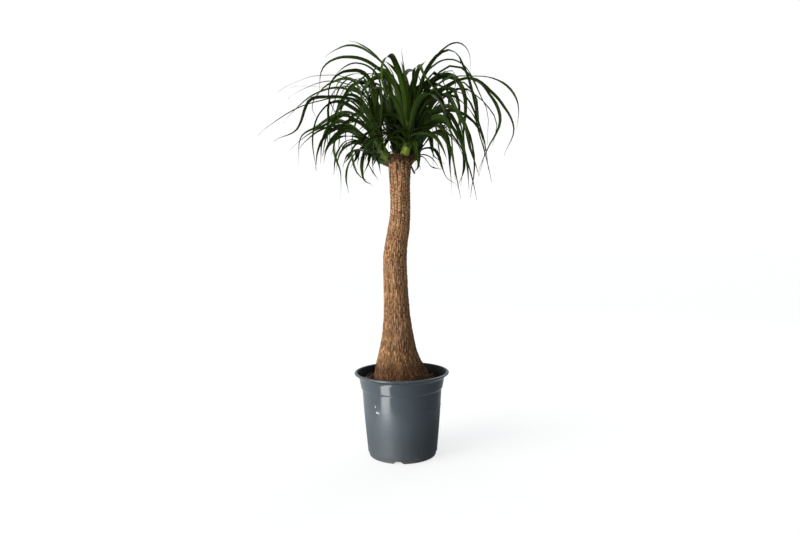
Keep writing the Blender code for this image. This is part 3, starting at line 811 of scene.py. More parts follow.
column = wander(turn * COLUMNS, COLUMN_WANDERS)
course = wander(up / BLOCK_HEIGHT, COURSE_WANDERS)
print(f"{COLUMNS} columns, courses {course.min():.0f} to {course.max():.0f}")

# %% Cracks between the blocks
CRACK_STEEPNESS = 1.5


def cracks(across, upward, width):
    """How deep a crack is here, from 0 on a block to 1 in the middle of a crack. Every other column is
    shifted by half a block, like bricks."""
    own_column = np.floor(across)
    shifted = upward + 0.5 * (own_column % 2 == 0)
    edge = np.minimum(np.abs(across - np.round(across)), np.abs(shifted - np.round(shifted)))
    return np.clip(1 - edge / width, 0, 1) ** CRACK_STEEPNESS


# %% Where each size of block rules: square ones high up, long ones below, threads on the swollen foot
# Each size is given as blocks across a column and blocks up a course.
SQUARE, LONG, THREAD = (1, 1), (2, 0.40), (4, 0.15)
square_rules = along(
    (0.30, 0.0), (0.40, 0.5), (0.48, 0.8), (0.505, 0.25), (0.565, 0.3), (0.595, 1.0), (0.74, 1.0)
)
long_rules = along(
    (0.17, 0.3), (0.28, 0.7), (0.36, 0.9), (0.46, 0.5), (0.51, 1.0), (0.56, 0.9), (0.60, 0.0)
)
thread_rules = along((0.17, 1.0), (0.28, 1.0), (0.37, 0.4), (0.44, 0.0))
square_cracks = square_rules * cracks(column * SQUARE[0], course * SQUARE[1], width=0.20)
long_cracks = long_rules * cracks(column * LONG[0], course * LONG[1], width=0.24)
thread_cracks = thread_rules * cracks(column * THREAD[0], course * THREAD[1], width=0.34)
print(f"cracks on {np.mean(square_cracks + long_cracks + thread_cracks > 0):.0%} of the bark")

# %% Lumps, fibres and the ribs of the swollen foot
fibres = noise_at(330, 34)
lumps = noise_at(30, 22)
grit = noise_at(240, 240)
bearing = turn * math.tau
ribs = np.sin(bearing * 5 + 0.7) + 0.7 * np.sin(bearing * 9 + 2.1) + 0.5 * np.sin(bearing * 14 + up * 20)
rib_height = along((0.18, 0.0017), (0.23, 0.0012), (0.32, 0.0005), (0.45, 0.0003), (0.73, 0.0003))
print(f"ribs stand out by up to {(ribs * rib_height).max() / MM:.1f} mm")

# %% Move every vertex along its normal by the sum
SQUARE_DEPTH, LONG_DEPTH, THREAD_DEPTH = 0.0013, 0.0012, 0.0011
FIBRE_HEIGHT, LUMP_HEIGHT, GRIT_HEIGHT = 0.0007, 0.0008, 0.0003
relief = -SQUARE_DEPTH * square_cracks - LONG_DEPTH * long_cracks - THREAD_DEPTH * thread_cracks
relief += FIBRE_HEIGHT * fibres + LUMP_HEIGHT * lumps + GRIT_HEIGHT * grit + ribs * rib_height
relief *= along((0.150, 0.2), (0.185, 1.0), (0.735, 1.0), (0.757, 0.5))
normals = np.empty(len(up) * 3)
trunk.data.vertices.foreach_get("normal", normals)
trunk.data.vertices.foreach_set("co", (places + normals.reshape(-1, 3) * relief[:, None]).ravel())
trunk.data.update()
print(f"bark relief {relief.min() / MM:.1f} to {relief.max() / MM:.1f} mm")

# %% Lay two maps on the trunk: its blocks, and the whole skin unrolled for the colour bake
corner_vertex = np.empty(len(trunk.data.loops), int)
trunk.data.loops.foreach_get("vertex_index", corner_vertex)
first_corner = np.empty(len(trunk.data.polygons), int)
trunk.data.polygons.foreach_get("loop_start", first_corner)
corner_counts = np.diff(np.append(first_corner, len(corner_vertex)))


def lay_map(name, first, second, wraps_at):
    """Writes a map from two values per vertex. The value that wraps round the trunk, the first or the
    second, is carried on past its end on the faces that cross the seam."""
    values = [first[corner_vertex], second[corner_vertex]]
    which, full_turn = wraps_at
    around = values[which]
    highest = np.maximum.reduceat(around, first_corner)
    spread = highest - np.minimum.reduceat(around, first_corner)
    crosses = np.repeat(spread > full_turn / 2, corner_counts)
    low_side = around < np.repeat(highest, corner_counts) - full_turn / 2
    values[which] = np.where(crosses & low_side, around + full_turn, around)
    layer = trunk.data.uv_layers.new(name=name)
    layer.uv.foreach_set("vector", np.stack(values, 1).astype(np.float32).ravel())


SEAM_ROOM = 1.02
MAP_EDGE = 0.002
TOP_SPREAD = 0.4
unrolled = up + TOP_SPREAD * np.clip(TOP_RADIUS - radius, 0, 1) * (up > SHOULDER)
unrolled = (unrolled - unrolled.min()) / (unrolled.max() - unrolled.min())
unrolled = MAP_EDGE + (1 - 2 * MAP_EDGE) * unrolled
lay_map("OFBake", turn / SEAM_ROOM, unrolled, (0, 1 / SEAM_ROOM))
lay_map("blocks", course, column, (1, COLUMNS))
print("maps:", [layer.name for layer in trunk.data.uv_layers])

# %% Keep where each size of block rules, for the colours
for block, rules in (("square", square_rules), ("long", long_rules), ("thread", thread_rules)):
    keep(trunk, block, rules)
    print(f"{block} blocks rule on {np.mean(rules > 0.5):.0%} of the bark")

# %% [markdown]
# ### Bark finish
# Corky bark is tan with a weathered skin on the blocks, and red-brown to near black in the cracks. Towards
# the soil it turns olive, then redder and more fibrous. The same block map shapes the relief and places the
# colours, so they agree, and the finish draws each crack finer than the mesh can.

# %% Corky bark, block by block
bark = Finish("bark_corky", Specular_IOR_Level=0.25)
at = bark.places()
height = bark.number("ShaderNodeSeparateXYZ", {}, {0: at}, output=2)
on_blocks = bark.node("ShaderNodeUVMap", {"uv_map": "blocks"}, {}).outputs[0]
ragged = bark.node("ShaderNodeTexNoise", {}, {"Vector": at, "Scale": 260, "Detail": 3}).outputs["Color"]
RAGGEDNESS = (0.45, 0.35, 0)
on_blocks = bark.node(
    "ShaderNodeVectorMath", {"operation": "MULTIPLY_ADD"}, {0: ragged, 1: RAGGEDNESS, 2: on_blocks}
).outputs[0]


def drawn_blocks(shape, gap):
    """The tone of each block and the cracks between them, for one size of block."""
    stretched = bark.node(
        "ShaderNodeVectorMath", {"operation": "MULTIPLY"}, {0: on_blocks, 1: (shape[1], shape[0], 1)}
    ).outputs[0]
    bricks = bark.node(
        "ShaderNodeTexBrick", {"offset": 0.5, "offset_frequency": 2, "squash_frequency": 2},
        {"Vector": stretched, "Color1": (0, 0, 0, 1), "Color2": (1, 1, 1, 1), "Mortar": (0.5, 0.5, 0.5, 1),
         "Scale": 1.0, "Mortar Size": gap, "Mortar Smooth": 0.8, "Brick Width": 1.0, "Row Height": 1.0},
    )
    return Number(bark, bricks.outputs["Color"]), Number(bark, bricks.outputs["Fac"])


square_tone, square_gap = drawn_blocks(SQUARE, gap=0.13)
long_tone, long_gap = drawn_blocks(LONG, gap=0.16)
thread_tone, thread_gap = drawn_blocks(THREAD, gap=0.22)
square_share = bark.attribute("square")
long_share = bark.attribute("long")
thread_share = bark.attribute("thread")
openness = bark.rise(bark.noise(bark.places((1, 1, 0.22)), 130, detail=3), 0.28, 0.62)
gaps = square_gap.maths("MAXIMUM", square_share * square_gap, long_share * long_gap)
gaps = gaps.maths("MAXIMUM", gaps, 0.85 * thread_share * thread_gap) * (0.30 + 0.70 * openness)
print(f"three sizes of block, {len(bark.tree.nodes)} nodes so far")

# %% Skin colours over the blocks
threads = bark.noise(bark.places((1, 1, 0.08)), 390, detail=5, roughness=0.66)
plates = bark.noise(bark.places((1, 1, 0.3)), 80, detail=4)
weather = bark.noise(at, 16, detail=4)
specks = bark.noise(at, 700, detail=3)
olive = bark.mix(threads, (0.15, 0.075, 0.024), (0.40, 0.225, 0.085))
foot_red = bark.mix(threads, (0.080, 0.024, 0.009), (0.30, 0.108, 0.040))
skin = bark.paint(
    bark.mix(plates, (0.33, 0.142, 0.056), (0.53, 0.285, 0.138)),
    (0.45 * square_share * bark.rise(square_tone, 0.5, 1.0), (0.70, 0.43, 0.25)),
    (0.40 * square_share * bark.rise(square_tone, 0.45, 0.0), (0.19, 0.072, 0.031)),
    (0.35 * long_share * bark.rise(long_tone, 0.5, 1.0), (0.60, 0.36, 0.18)),
    (0.20 * thread_share * bark.rise(thread_tone, 0.5, 0.0), (0.14, 0.060, 0.022)),
    (0.45 * long_share * bark.rise(long_tone, 0.45, 0.0), (0.16, 0.068, 0.026)),
    (0.30 * bark.rise(weather, 0.50, 0.72), (0.38, 0.27, 0.175)),
    (0.70 * bark.rise(height, 0.330, 0.250), olive),
    (0.90 * bark.rise(height, 0.250, 0.200), foot_red),
    (0.80 * bark.rise(threads, 0.49, 0.37), (0.060, 0.022, 0.008)),
    (0.75 * bark.rise(threads, 0.51, 0.62), (0.80, 0.48, 0.235)),
    (0.88 * gaps, (0.050, 0.017, 0.007)),
    (0.58 * bark.rise(height, 0.252, 0.222), (0.036, 0.012, 0.003)),
    (0.60 * bark.rise(height, 0.738, 0.752), (0.10, 0.075, 0.055)),
)
dull = 0.80 + 0.15 * specks
relief_fine = 1.1 * threads + 0.4 * specks - 0.9 * gaps
wear(trunk, bark.finish(skin, dull, relief_fine, depth=0.0018))
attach(trunk, "root")
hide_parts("trunk")

# %% [markdown]
# ## The shoots
# Each shoot is a short green stem wrapped in the clasping feet of its leaves. Old feet at the bottom are dry
# and brown, and others low on the stem are pale yellow-green. The stem is pulled straight and bent along the
# CAD shoot's middle line with a Curve modifier. One clasping foot is modelled and copied up the stem in a
# spiral of 137.5 degrees, the angle at which most rosettes grow.

# %% Read a shoot's middle line from its CAD node
GOLDEN_TURN = math.radians(137.5)
SHOOTS = ("main", "left", "low", "right", "back")
STEM_SIDES = 12
SHOOT_STRAIGHT = 0.45
STEM_RADII = ((0, 0.4, 1), (0.0095, 0.0105, 0.0045))
top_centre = Vector((float(level_lean[-1]), 0, float(level_z[-1]) - TOP_RADIUS))


def corners_of(node):
    """The places of a CAD node's corners, each once, in a fixed order."""
    found = {tuple(round(value, 6) for value in vertex.co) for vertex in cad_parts[node].data.vertices}
    return [Vector(place) for place in sorted(found)]


def middle(places):
    """The mean of some places."""
    return sum(places, Vector()) / len(places)


def stem_line(shoot):
    """The start, bend and end of a shoot, which leaves the trunk's top squarely and then turns."""
    corners = corners_of(f"shoot_{shoot}")
    corners.sort(key=lambda place: (place - top_centre).length)
    start = middle(corners[:STEM_SIDES])
    corners.sort(key=lambda place: (place - start).length)
    end = middle(corners[-STEM_SIDES:])
    bend = start + (start - top_centre).normalized() * (end - start).length * SHOOT_STRAIGHT
    return start, bend, end


stems = {shoot: stem_line(shoot) for shoot in SHOOTS}
print("stems:", {shoot: f"{(ends[2] - ends[0]).length / MM:.0f} mm" for shoot, ends in stems.items()})


def stem_point(shoot, share):
    """The point at this share of a shoot's length, from 0 at the trunk to 1 at the tip."""
    start, bend, end = stems[shoot]
    return start * (1 - share) ** 2 + bend * 2 * share * (1 - share) + end * share**2


def stem_radius(share):
    """How thick a stem is: fullest under the middle, thin at the growing tip."""
    return float(np.interp(share, *STEM_RADII))


# %% Bending a straight shape along a line
def bend_along(piece, places, widths, tilts, axis):
    """Bends a shape that is one unit long along a smooth line, with its own width and turn at each place."""
    data = bpy.data.curves.new("bend", "CURVE")
    data.dimensions = "3D"
    data.twist_mode = "MINIMUM"
    data.use_stretch = True
    data.use_deform_bounds = True
    data.use_radius = True
    spline = data.splines.new("BEZIER")
    spline.tilt_interpolation = "EASE"
    spline.radius_interpolation = "CARDINAL"
    spline.bezier_points.add(len(places) - 1)
    for knot, place, width, tilt in zip(spline.bezier_points, places, widths, tilts):
        knot.co = place
        knot.radius = width
        knot.tilt = tilt
        knot.handle_left_type = "AUTO"
        knot.handle_right_type = "AUTO"
    line = bpy.data.objects.new("bend", data)
    bpy.context.scene.collection.objects.link(line)
    apply_modifier(piece, "CURVE", object=line, deform_axis=axis)
    bpy.data.objects.remove(line)
    bpy.data.curves.remove(data)


# %% One clasping leaf foot, unit sized, wrapped round the upright axis
FOOT_HALF_TURN = math.radians(80)
# Where each band of the foot starts, its width there and how far it leans out.
CLASP_BANDS = ((0.9, 0.42, 0.34), (0.6, 0.80, 0.10))
BAND_HEIGHT = 0.31
CLASP_THICKNESS = 0.09
clasp = add(
    bpy.ops.mesh.primitive_cylinder_add,
    vertices=24, radius=1, depth=1, end_fill_type="NOTHING", location=(0, 0, 0.5),
)
bpy.ops.object.transform_apply(location=True)
bpy.ops.object.mode_set(mode="EDIT")
select_points(clasp, lambda place: abs(math.atan2(place.y, place.x)) > FOOT_HALF_TURN)
bpy.ops.mesh.delete(type="VERT")
bpy.ops.mesh.select_all(action="SELECT")
bpy.ops.mesh.subdivide(number_cuts=2)
for low, width, lean in CLASP_BANDS:
    select_points(clasp, lambda place: low < place.z < low + BAND_HEIGHT)
    bpy.ops.transform.resize(value=(1, width, 1), center_override=(0, 0, 0))
    bpy.ops.transform.translate(value=(lean, 0, 0))
bpy.ops.object.mode_set(mode="OBJECT")
apply_modifier(clasp, "SOLIDIFY", thickness=CLASP_THICKNESS, offset=1)
print(f"clasping foot with {len(clasp.data.polygons)} faces")

# %% Stems, each wrapped in its spiral of feet
CLASPS_PER_SHOOT = 16
LOWEST_CLASP = -0.02
CLASP_SPAN = 0.92
CLASP_WIDTH = (0.98, 1.10)
CLASP_LENGTH = (0.016, 0.024)
DRY_BELOW = 0.2
DRYNESS = 0.9
PALE_BELOW = 0.28
STEM_RINGS = 22
STEM_TIP_RADIUS = 0.0030
STEM_RIDGES = (0.97, 1.04)
BENDS = 9
STEP_ALONG = 0.02
DRY_FEET = {"main": 0.15, "left": 0.25, "low": 0.7, "right": 0.8, "back": 0.9}
PALE_FEET = {"main": 1.0, "left": 0.45, "low": 0.2, "right": 0.1, "back": 0.1}
shoot_pieces = {}
for shoot in SHOOTS:
    shares = [i / STEM_RINGS for i in range(STEM_RINGS)]
    rings = [(stem_radius(share) * STEM_RIDGES[i % 2], share, 0) for i, share in enumerate(shares)]
    stem = pull_rings(rings + [(STEM_TIP_RADIUS, 1.0, 0)], STEM_SIDES)
    route = [stem_point(shoot, i / (BENDS - 1)) for i in range(BENDS)]
    bend_along(stem, route, [1] * BENDS, [0] * BENDS, "POS_Z")
    keep(stem, "dry", np.zeros(len(stem.data.vertices)))
    keep(stem, "pale", np.zeros(len(stem.data.vertices)))
    parts = [stem]
    for i in range(CLASPS_PER_SHOOT):
        share = CLASP_SPAN * i / CLASPS_PER_SHOOT + LOWEST_CLASP
        point = stem_point(shoot, share)
        grows = stem_point(shoot, share + STEP_ALONG) - stem_point(shoot, share)
        upright = grows.to_track_quat("Z", "X").to_matrix().to_4x4()
        size = stem_radius(share) * draw.uniform(*CLASP_WIDTH)
        shape = Matrix.Diagonal((size, size, draw.uniform(*CLASP_LENGTH), 1))
        spin = Matrix.Rotation(GOLDEN_TURN * i, 4, "Z")
        copy = place_copy(clasp, Matrix.Translation(point) @ upright @ spin @ shape)
        dryness = DRYNESS if share < DRY_BELOW and draw.random() < DRY_FEET[shoot] else 0.0
        paleness = PALE_FEET[shoot] * max(0.0, 1 - share / PALE_BELOW)
        keep(copy, "dry", np.full(len(copy.data.vertices), dryness))
        keep(copy, "pale", np.full(len(copy.data.vertices), paleness))
        parts.append(copy)
    shoot_pieces[shoot] = settle(join(parts), f"stem_{shoot}", smooth_degrees=40)

# %% [markdown]
# ### Dry stubs
# Where leaves have dropped, their feet stay on the crown of the trunk as a rough brown collar, some of them
# hanging. The same clasping foot serves, made narrow and set round the trunk's shoulder.

# %% A ragged collar of old leaf feet
STUB_COUNT = 60
CLEAR_OF_SHOOTS = 0.012
STUB_RISE = (-0.35, 1.1)
STUB_SINK = 0.003
SHOULDER_DROP = 0.034
HANG_ON_TOP = (0.1, 0.9)
HANG_BELOW = (-5.0, -2.0)
STUB_WIDTH = (0.0028, 0.0052)
STUB_OVAL = 1.3
STUB_LENGTH = (0.008, 0.019)
STUB_DRYNESS = (0.75, 1.0)
stubs = []
for i in range(STUB_COUNT):
    spin = GOLDEN_TURN * i
    rise = draw.uniform(*STUB_RISE)
    away = Vector((math.cos(spin) * math.cos(rise), math.sin(spin) * math.cos(rise), math.sin(rise)))
    if rise < 0:
        away.z = 0
    away.normalize()
    foot = top_centre + away * (TOP_RADIUS - STUB_SINK)
    foot.z += SHOULDER_DROP * min(0.0, rise)
    if min((foot - stems[shoot][0]).length for shoot in SHOOTS) < CLEAR_OF_SHOOTS:
        continue
    hang = draw.uniform(*(HANG_ON_TOP if rise > 0 else HANG_BELOW))
    points = (away + Vector((0, 0, hang))).to_track_quat("Z", "X").to_matrix().to_4x4()
    size = draw.uniform(*STUB_WIDTH)
    shape = Matrix.Diagonal((size, size * STUB_OVAL, draw.uniform(*STUB_LENGTH), 1))
    copy = place_copy(clasp, Matrix.Translation(foot) @ points @ Matrix.Rotation(spin, 4, "Z") @ shape)
    keep(copy, "dry", np.full(len(copy.data.vertices), draw.uniform(*STUB_DRYNESS)))
    keep(copy, "pale", np.zeros(len(copy.data.vertices)))
    stubs.append(copy)
stub_collar = settle(join(stubs), "dry_stubs", smooth_degrees=40)
bpy.data.objects.remove(clasp)

# %% Green to dry sheath skin
sheath = Finish("shoot_sheath_skin", Specular_IOR_Level=0.25)
at = sheath.places()
grain = sheath.noise(sheath.places((1, 1, 0.2)), 420, detail=4)
mottle = sheath.noise(at, 90, detail=3)
dry = sheath.attribute("dry")
pale = sheath.attribute("pale")
lime = sheath.mix(mottle, (0.15, 0.23, 0.018), (0.46, 0.56, 0.065))
green = sheath.mix(pale, sheath.mix(mottle, (0.012, 0.032, 0.004), (0.035, 0.085, 0.010)), lime)
brown = sheath.mix(grain, (0.035, 0.015, 0.007), (0.24, 0.130, 0.062))
skin = sheath.mix(sheath.rise(dry + 0.3 * mottle, 0.35, 0.85), green, brown)
dull = 0.42 + 0.40 * sheath.rise(dry, 0.3, 0.8)
sheath_skin = sheath.finish(skin, dull, grain, depth=0.0004)
for shoot, piece in shoot_pieces.items():
    wear(piece, sheath_skin)
    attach(piece, "root")
    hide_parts(f"shoot_{shoot}")
wear(stub_collar, sheath_skin)
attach(stub_collar, "root")

# %% [markdown]
# ## The leaves
# A blade is a strap folded in a shallow V along its midrib. It leaves its shoot broad, arches over under its
# own weight and runs out into a dry thread. Fur or hair curves could give the mass but not the blades. Here
# one blade is modelled flat, one unit long and wide, and each leaf is a copy bent along its own line. The
# lines of the fifty-two CAD leaves are read from their nodes, so they stay exactly where the frame has them.

# %% A flat blade, pulled as a thin tube and folded along its midrib
BLADE_THICKNESS = 0.05
FOLD_AT_EDGE = 0.15
FOLD_HALF_WAY = 0.075
HALF_MAP = 0.42
MAP_MARGIN = 0.04


def flat_blade(sides, steps):
    """A closed blade along X, from 0 to 1, half a unit to each side, folded open side up."""
    blade = pull_rings([(0.5, i / steps, 0) for i in range(steps + 1)], sides)
    bpy.ops.object.mode_set(mode="EDIT")
    bpy.ops.mesh.select_all(action="SELECT")
    bpy.ops.transform.resize(value=(1, BLADE_THICKNESS, 1), center_override=(0, 0, 0))
    for low, high, lift in ((0.45, 0.6, FOLD_AT_EDGE), (0.2, 0.45, FOLD_HALF_WAY)):
        select_points(blade, lambda place: low < abs(place.x) < high)
        bpy.ops.transform.translate(value=(0, lift, 0))
    bpy.ops.object.mode_set(mode="OBJECT")
    lay_down = Matrix(((0, 0, 1, 0), (1, 0, 0, 0), (0, 1, 0, 0), (0, 0, 0, 1)))
    blade.data.transform(lay_down)
    return blade


def mark_blade(blade):
    """Gives the blade its own map: across and along, and a second one whose two halves are its two faces."""
    data = blade.data
    data.update()
    own = data.uv_layers.new(name="blade")
    baked = data.uv_layers.new(name="OFBake")
    below = data.attributes.new("below", "FLOAT", "FACE")
    for face in data.polygons:
        under = face.normal.z < 0
        below.data[face.index].value = 1.0 if under else 0.0
        for loop in face.loop_indices:
            place = data.vertices[data.loops[loop].vertex_index].co
            across = place.y + 0.5
            own.uv[loop].vector = (across, place.x)
            side = MAP_MARGIN + HALF_MAP * across
            baked.uv[loop].vector = (1 - side if under else side, place.x)


full_blade = flat_blade(sides=8, steps=34)
small_blade = flat_blade(sides=4, steps=15)
for blade in (full_blade, small_blade):
    mark_blade(blade)
    print(f"blade with {len(blade.data.polygons)} faces")

# %% [markdown]
# ### Following the CAD leaves
# Each CAD leaf is a folded strap, and each of its sections has four corners. The middle and the width of
# every second section give the line that a blade is bent along, so no leaf has to be placed twice.

# %% The line and the widths of a CAD leaf
SECTION_CORNERS = 4
STEM_STEPS = 20
SAME_PLACE = 1e-6


def leaf_line(node):
    """The middle and the width of every second section of a CAD leaf, from its foot to its tip."""
    shape = bmesh.new()
    shape.from_mesh(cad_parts[node].data)
    bmesh.ops.remove_doubles(shape, verts=shape.verts, dist=SAME_PLACE)
    shoot = node.split("_")[1]
    stem = [stem_point(shoot, i / STEM_STEPS) for i in range(STEM_STEPS + 1)]
    nearest = min(shape.verts, key=lambda vertex: min((vertex.co - point).length for point in stem))
    section = sorted(shape.verts, key=lambda vertex: (vertex.co - nearest.co).length)[:SECTION_CORNERS]
    seen = set(section)
    line = []
    while section:
        pairs = [(a.co - b.co).length for a in section for b in section]
        line.append((middle([vertex.co for vertex in section]), max(pairs)))
        reached = {edge.other_vert(vertex) for vertex in section for edge in vertex.link_edges}
        section = sorted(reached - seen, key=lambda vertex: vertex.index)
        seen |= reached
    shape.free()
    return line[::2] if len(line) % 2 else line[::2] + line[-1:]


leaf_nodes = sorted(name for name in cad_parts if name.startswith("leaf_"))
cad_lines = {name: leaf_line(name) for name in leaf_nodes}
print(f"{len(cad_lines)} leaf lines read")

# %% The fullness of a blade and the thread it ends in
THREAD_SHARE = 0.05
THREAD_LIMITS = (0.006, 0.016)
THREAD_NECK = 0.32
THREAD_WIDTH = 0.0007
NECK_AHEAD, NECK_SAG = 0.5, 0.06
END_AHEAD, END_SAG = 0.9, 0.25
BLADE_FULLNESS = ((0, 0.15, 0.4, 0.6, 0.78, 0.9, 1), (1.0, 1.08, 1.12, 1.06, 0.92, 0.76, 0.52))
BLADE_SMOOTHING = 26


def with_thread(line):
    """Adds the dry thread in which a blade ends: it runs on and hangs a little."""
    (before, _), (tip, width) = line[-2:]
    length = sum((b[0] - a[0]).length for a, b in zip(line, line[1:]))
    reach = min(max(THREAD_SHARE * length, THREAD_LIMITS[0]), THREAD_LIMITS[1])
    ahead = (tip - before).normalized() * reach
    sag = Vector((0, 0, -reach))
    last = len(line) - 1
    body = [
        (place, span * float(np.interp(i / last, *BLADE_FULLNESS))) for i, (place, span) in enumerate(line)
    ]
    neck = (tip + ahead * NECK_AHEAD + sag * NECK_SAG, width * THREAD_NECK)
    end = (tip + ahead * END_AHEAD + sag * END_SAG, THREAD_WIDTH)
    return body + [neck, end]


# %% How a blade turns about its own line
SIDEWAYS_TURN = (0.9, 1.6)
ANY_TURN = (0.0, 0.35)
LEAN = (0.06, 0.22)
SWING = (0.2, 0.65)
SET_LEAN, SET_SWING = 0.1, 0.2
TURN_STARTS = 0.22
TURN_SPAN = 0.42
SWINGS_PER_BLADE = 1.4


def twist_along(line, luck, set_turn):
    """How far a blade turns about its own line: most where it would show only its edge to the front, unless
    its turn is set."""
    away = line[-1][0] - line[0][0]
    sideways = abs(away.x) / max(away.xy.length, MM)
    most = luck.uniform(*SIDEWAYS_TURN) * sideways + luck.uniform(*ANY_TURN)
    side = luck.choice((-1, 1))
    most *= side
    lean = side * luck.uniform(*LEAN)
    phase, swing = luck.uniform(0, math.tau), luck.uniform(*SWING)
    if set_turn is not None:
        most, lean, swing = set_turn, SET_LEAN, SET_SWING
    tilts = []
    for i in range(len(line)):
        share = i / (len(line) - 1)
        turned = min(1.0, max(0.0, (share - TURN_STARTS) / TURN_SPAN))
        wave = swing * min(1, 2 * share) * math.sin(SWINGS_PER_BLADE * math.tau * share + phase)
        tilts.append(lean * min(1, 4 * share) + most * turned + wave)
    return tilts


# %% The bent copy, and leaves gathered into one piece
def grow_leaf(pattern, line, age_and_shade, luck, set_turn=None):
    """A copy of a blade bent along a line. Its age and shade runs from 0, a young upright leaf, to 1, an old
    hanging one; the darker green it gives old leaves is also painted shade."""
    line = with_thread(line)
    leaf = place_copy(pattern)
    places, widths = zip(*line)
    bend_along(leaf, places, widths, twist_along(line, luck, set_turn), "POS_X")
    count = len(leaf.data.vertices)
    keep(leaf, "tone", np.full(count, luck.random()))
    keep(leaf, "age_and_shade", np.full(count, age_and_shade))
    return leaf


def gather(leaves, name):
    """Joins leaves into one piece and gives each its own strip of the bake's map."""
    for i, leaf in enumerate(leaves):
        layer = leaf.data.uv_layers["OFBake"]
        flat = np.empty(len(leaf.data.loops) * 2, np.float32)
        layer.uv.foreach_get("vector", flat)
        flat[::2] = (i + flat[::2]) / len(leaves)
        layer.uv.foreach_set("vector", flat)
    return settle(join(leaves), name, BLADE_SMOOTHING)


# %% The fifty-two leaves of the frame
SEAT_STEPS = 40


def seat_share(shoot, place):
    """How far up its shoot a leaf is seated, from 0 to 1."""
    shares = (i / SEAT_STEPS for i in range(SEAT_STEPS + 1))
    return min(shares, key=lambda share: (stem_point(shoot, share) - place).length)


leaf_pieces = []
luck = random.Random(23)
# How much younger a leaf counts the higher it sits on its shoot. The colour drawn from this also paints the
# crown's shade on the low, old leaves.
YOUTH_AND_LIGHT = {"main": 1.0, "left": 0.6, "low": 0.45, "right": 0.5, "back": 0.45}
FULLNESS = {"main": 1.08, "left": 0.84, "low": 1.2, "right": 1.12, "back": 1.0}
# Leaves that stand out singly: fullness, set turn and age. The age also paints light and shade: leaf_main_11
# is set younger, so painted lighter, because the light falls full on it.
STANDS_OUT = {
    "leaf_main_01": (1.25, 0.5, 0.55),
    "leaf_main_02": (1.15, 0.5, 0.55),
    "leaf_main_03": (1.20, 0.1, 0.05),
    "leaf_main_06": (1.35, 0.2, 0.30),
    "leaf_main_07": (1.00, 0.9, 0.60),
    "leaf_main_08": (1.05, 0.5, 0.65),
    "leaf_main_09": (0.78, 1.35, 0.60),
    "leaf_main_11": (1.15, 0.0, 0.42),
    "leaf_left_05": (0.65, None, 0.60),
    "leaf_left_06": (0.75, None, 0.60),
    "leaf_left_08": (1.15, 1.4, 0.60),
    "leaf_right_03": (1.20, 1.1, 0.60),
}
for shoot in SHOOTS:
    mine = [name for name in leaf_nodes if name.startswith(f"leaf_{shoot}_")]
    grown = []
    for name in mine:
        age_and_shade = 1 - YOUTH_AND_LIGHT[shoot] * seat_share(shoot, cad_lines[name][0][0])
        full, set_turn, age_and_shade = STANDS_OUT.get(name, (FULLNESS[shoot], None, age_and_shade))
        line = [(place, width * full) for place, width in cad_lines[name]]
        grown.append(grow_leaf(full_blade, line, age_and_shade, luck, set_turn))
    piece = gather(grown, f"leaves_{shoot}")
    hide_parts(*mine)
    leaf_pieces.append(piece)

# %% [markdown]
# ### The leaves between them
# A real crown of this size has some two hundred blades. The rest are sisters of the fifty-two: the line of
# one leaf is carried to another seat further up or down the same shoot's spiral, turned with it and made
# shorter, so that the crown fills from all sides without growing wider. Lines that would run through the
# trunk or hang before it are cut short.

# %% Carry a leaf's line to another seat on its shoot
SISTERS = {"main": 28, "left": 9, "low": 38, "right": 18, "back": 16}
TRUNK_CLEARANCE = 0.048
CROWN_FOOT = 0.735
FRONT_CLEARANCE = 0.060
HEART_DEPTH = 0.040
HEART_MIDDLE = 0.012
HEART_HALF_WIDTH = 0.040
CROWN_TOP = 0.950
HANGS_OUT = 0.35
CUT_TAPER = 0.5


def allowed(place):
    """Whether a leaf may pass here: inside the CAD box, off the trunk, and not hanging in front of the
    trunk or of the upright heart leaves."""
    inside = all(low < value < high for low, value, high in zip(cad_low, place, cad_high))
    off_trunk = place.xy.length > TRUNK_CLEARANCE or place.z > CROWN_FOOT
    over_trunk = place.y < 0 and abs(place.x) < FRONT_CLEARANCE and place.z < CROWN_FOOT
    over_heart = place.y < -HEART_DEPTH and abs(place.x - HEART_MIDDLE) < HEART_HALF_WIDTH
    return inside and off_trunk and not over_trunk and not over_heart


def sister_line(shoot, line, share, turned, reach, rise, lowest, sway, broken):
    """A leaf line moved to a seat at this share of the shoot, turned about the upright, resized, swayed aside
    towards its tip, and cut short where it would hang lower than it may. Past its broken share it hangs."""
    first = line[0][0]
    seat = stem_point(shoot, share)
    bearing = math.atan2(first.y - seat.y, first.x - seat.x) + turned
    foot = seat + Vector((math.cos(bearing), math.sin(bearing), 0)) * stem_radius(share)
    spin = Matrix.Rotation(turned, 3, "Z")
    highest = max(place.z for place, width in line) - first.z
    rise = min(rise, (CROWN_TOP - foot.z) / highest)
    moved = []
    for i, (place, width) in enumerate(line):
        along = i / (len(line) - 1)
        arm = spin @ (place - first)
        arm.x *= reach
        arm.y *= reach
        arm.z *= rise
        arm += sway * along**2
        if along > broken:
            past = arm - crease
            arm = crease + Vector((HANGS_OUT * past.x, HANGS_OUT * past.y, -past.length))
        else:
            crease = arm
        too_low = (foot + arm).z < lowest
        if moved and (too_low or not allowed(foot + arm)):
            taper = CUT_TAPER * len(moved)
            left = range(len(moved), 0, -1)
            return [(at, wide * min(1, count / taper)) for count, (at, wide) in zip(left, moved)]
        moved.append((foot + arm, width))
    return moved


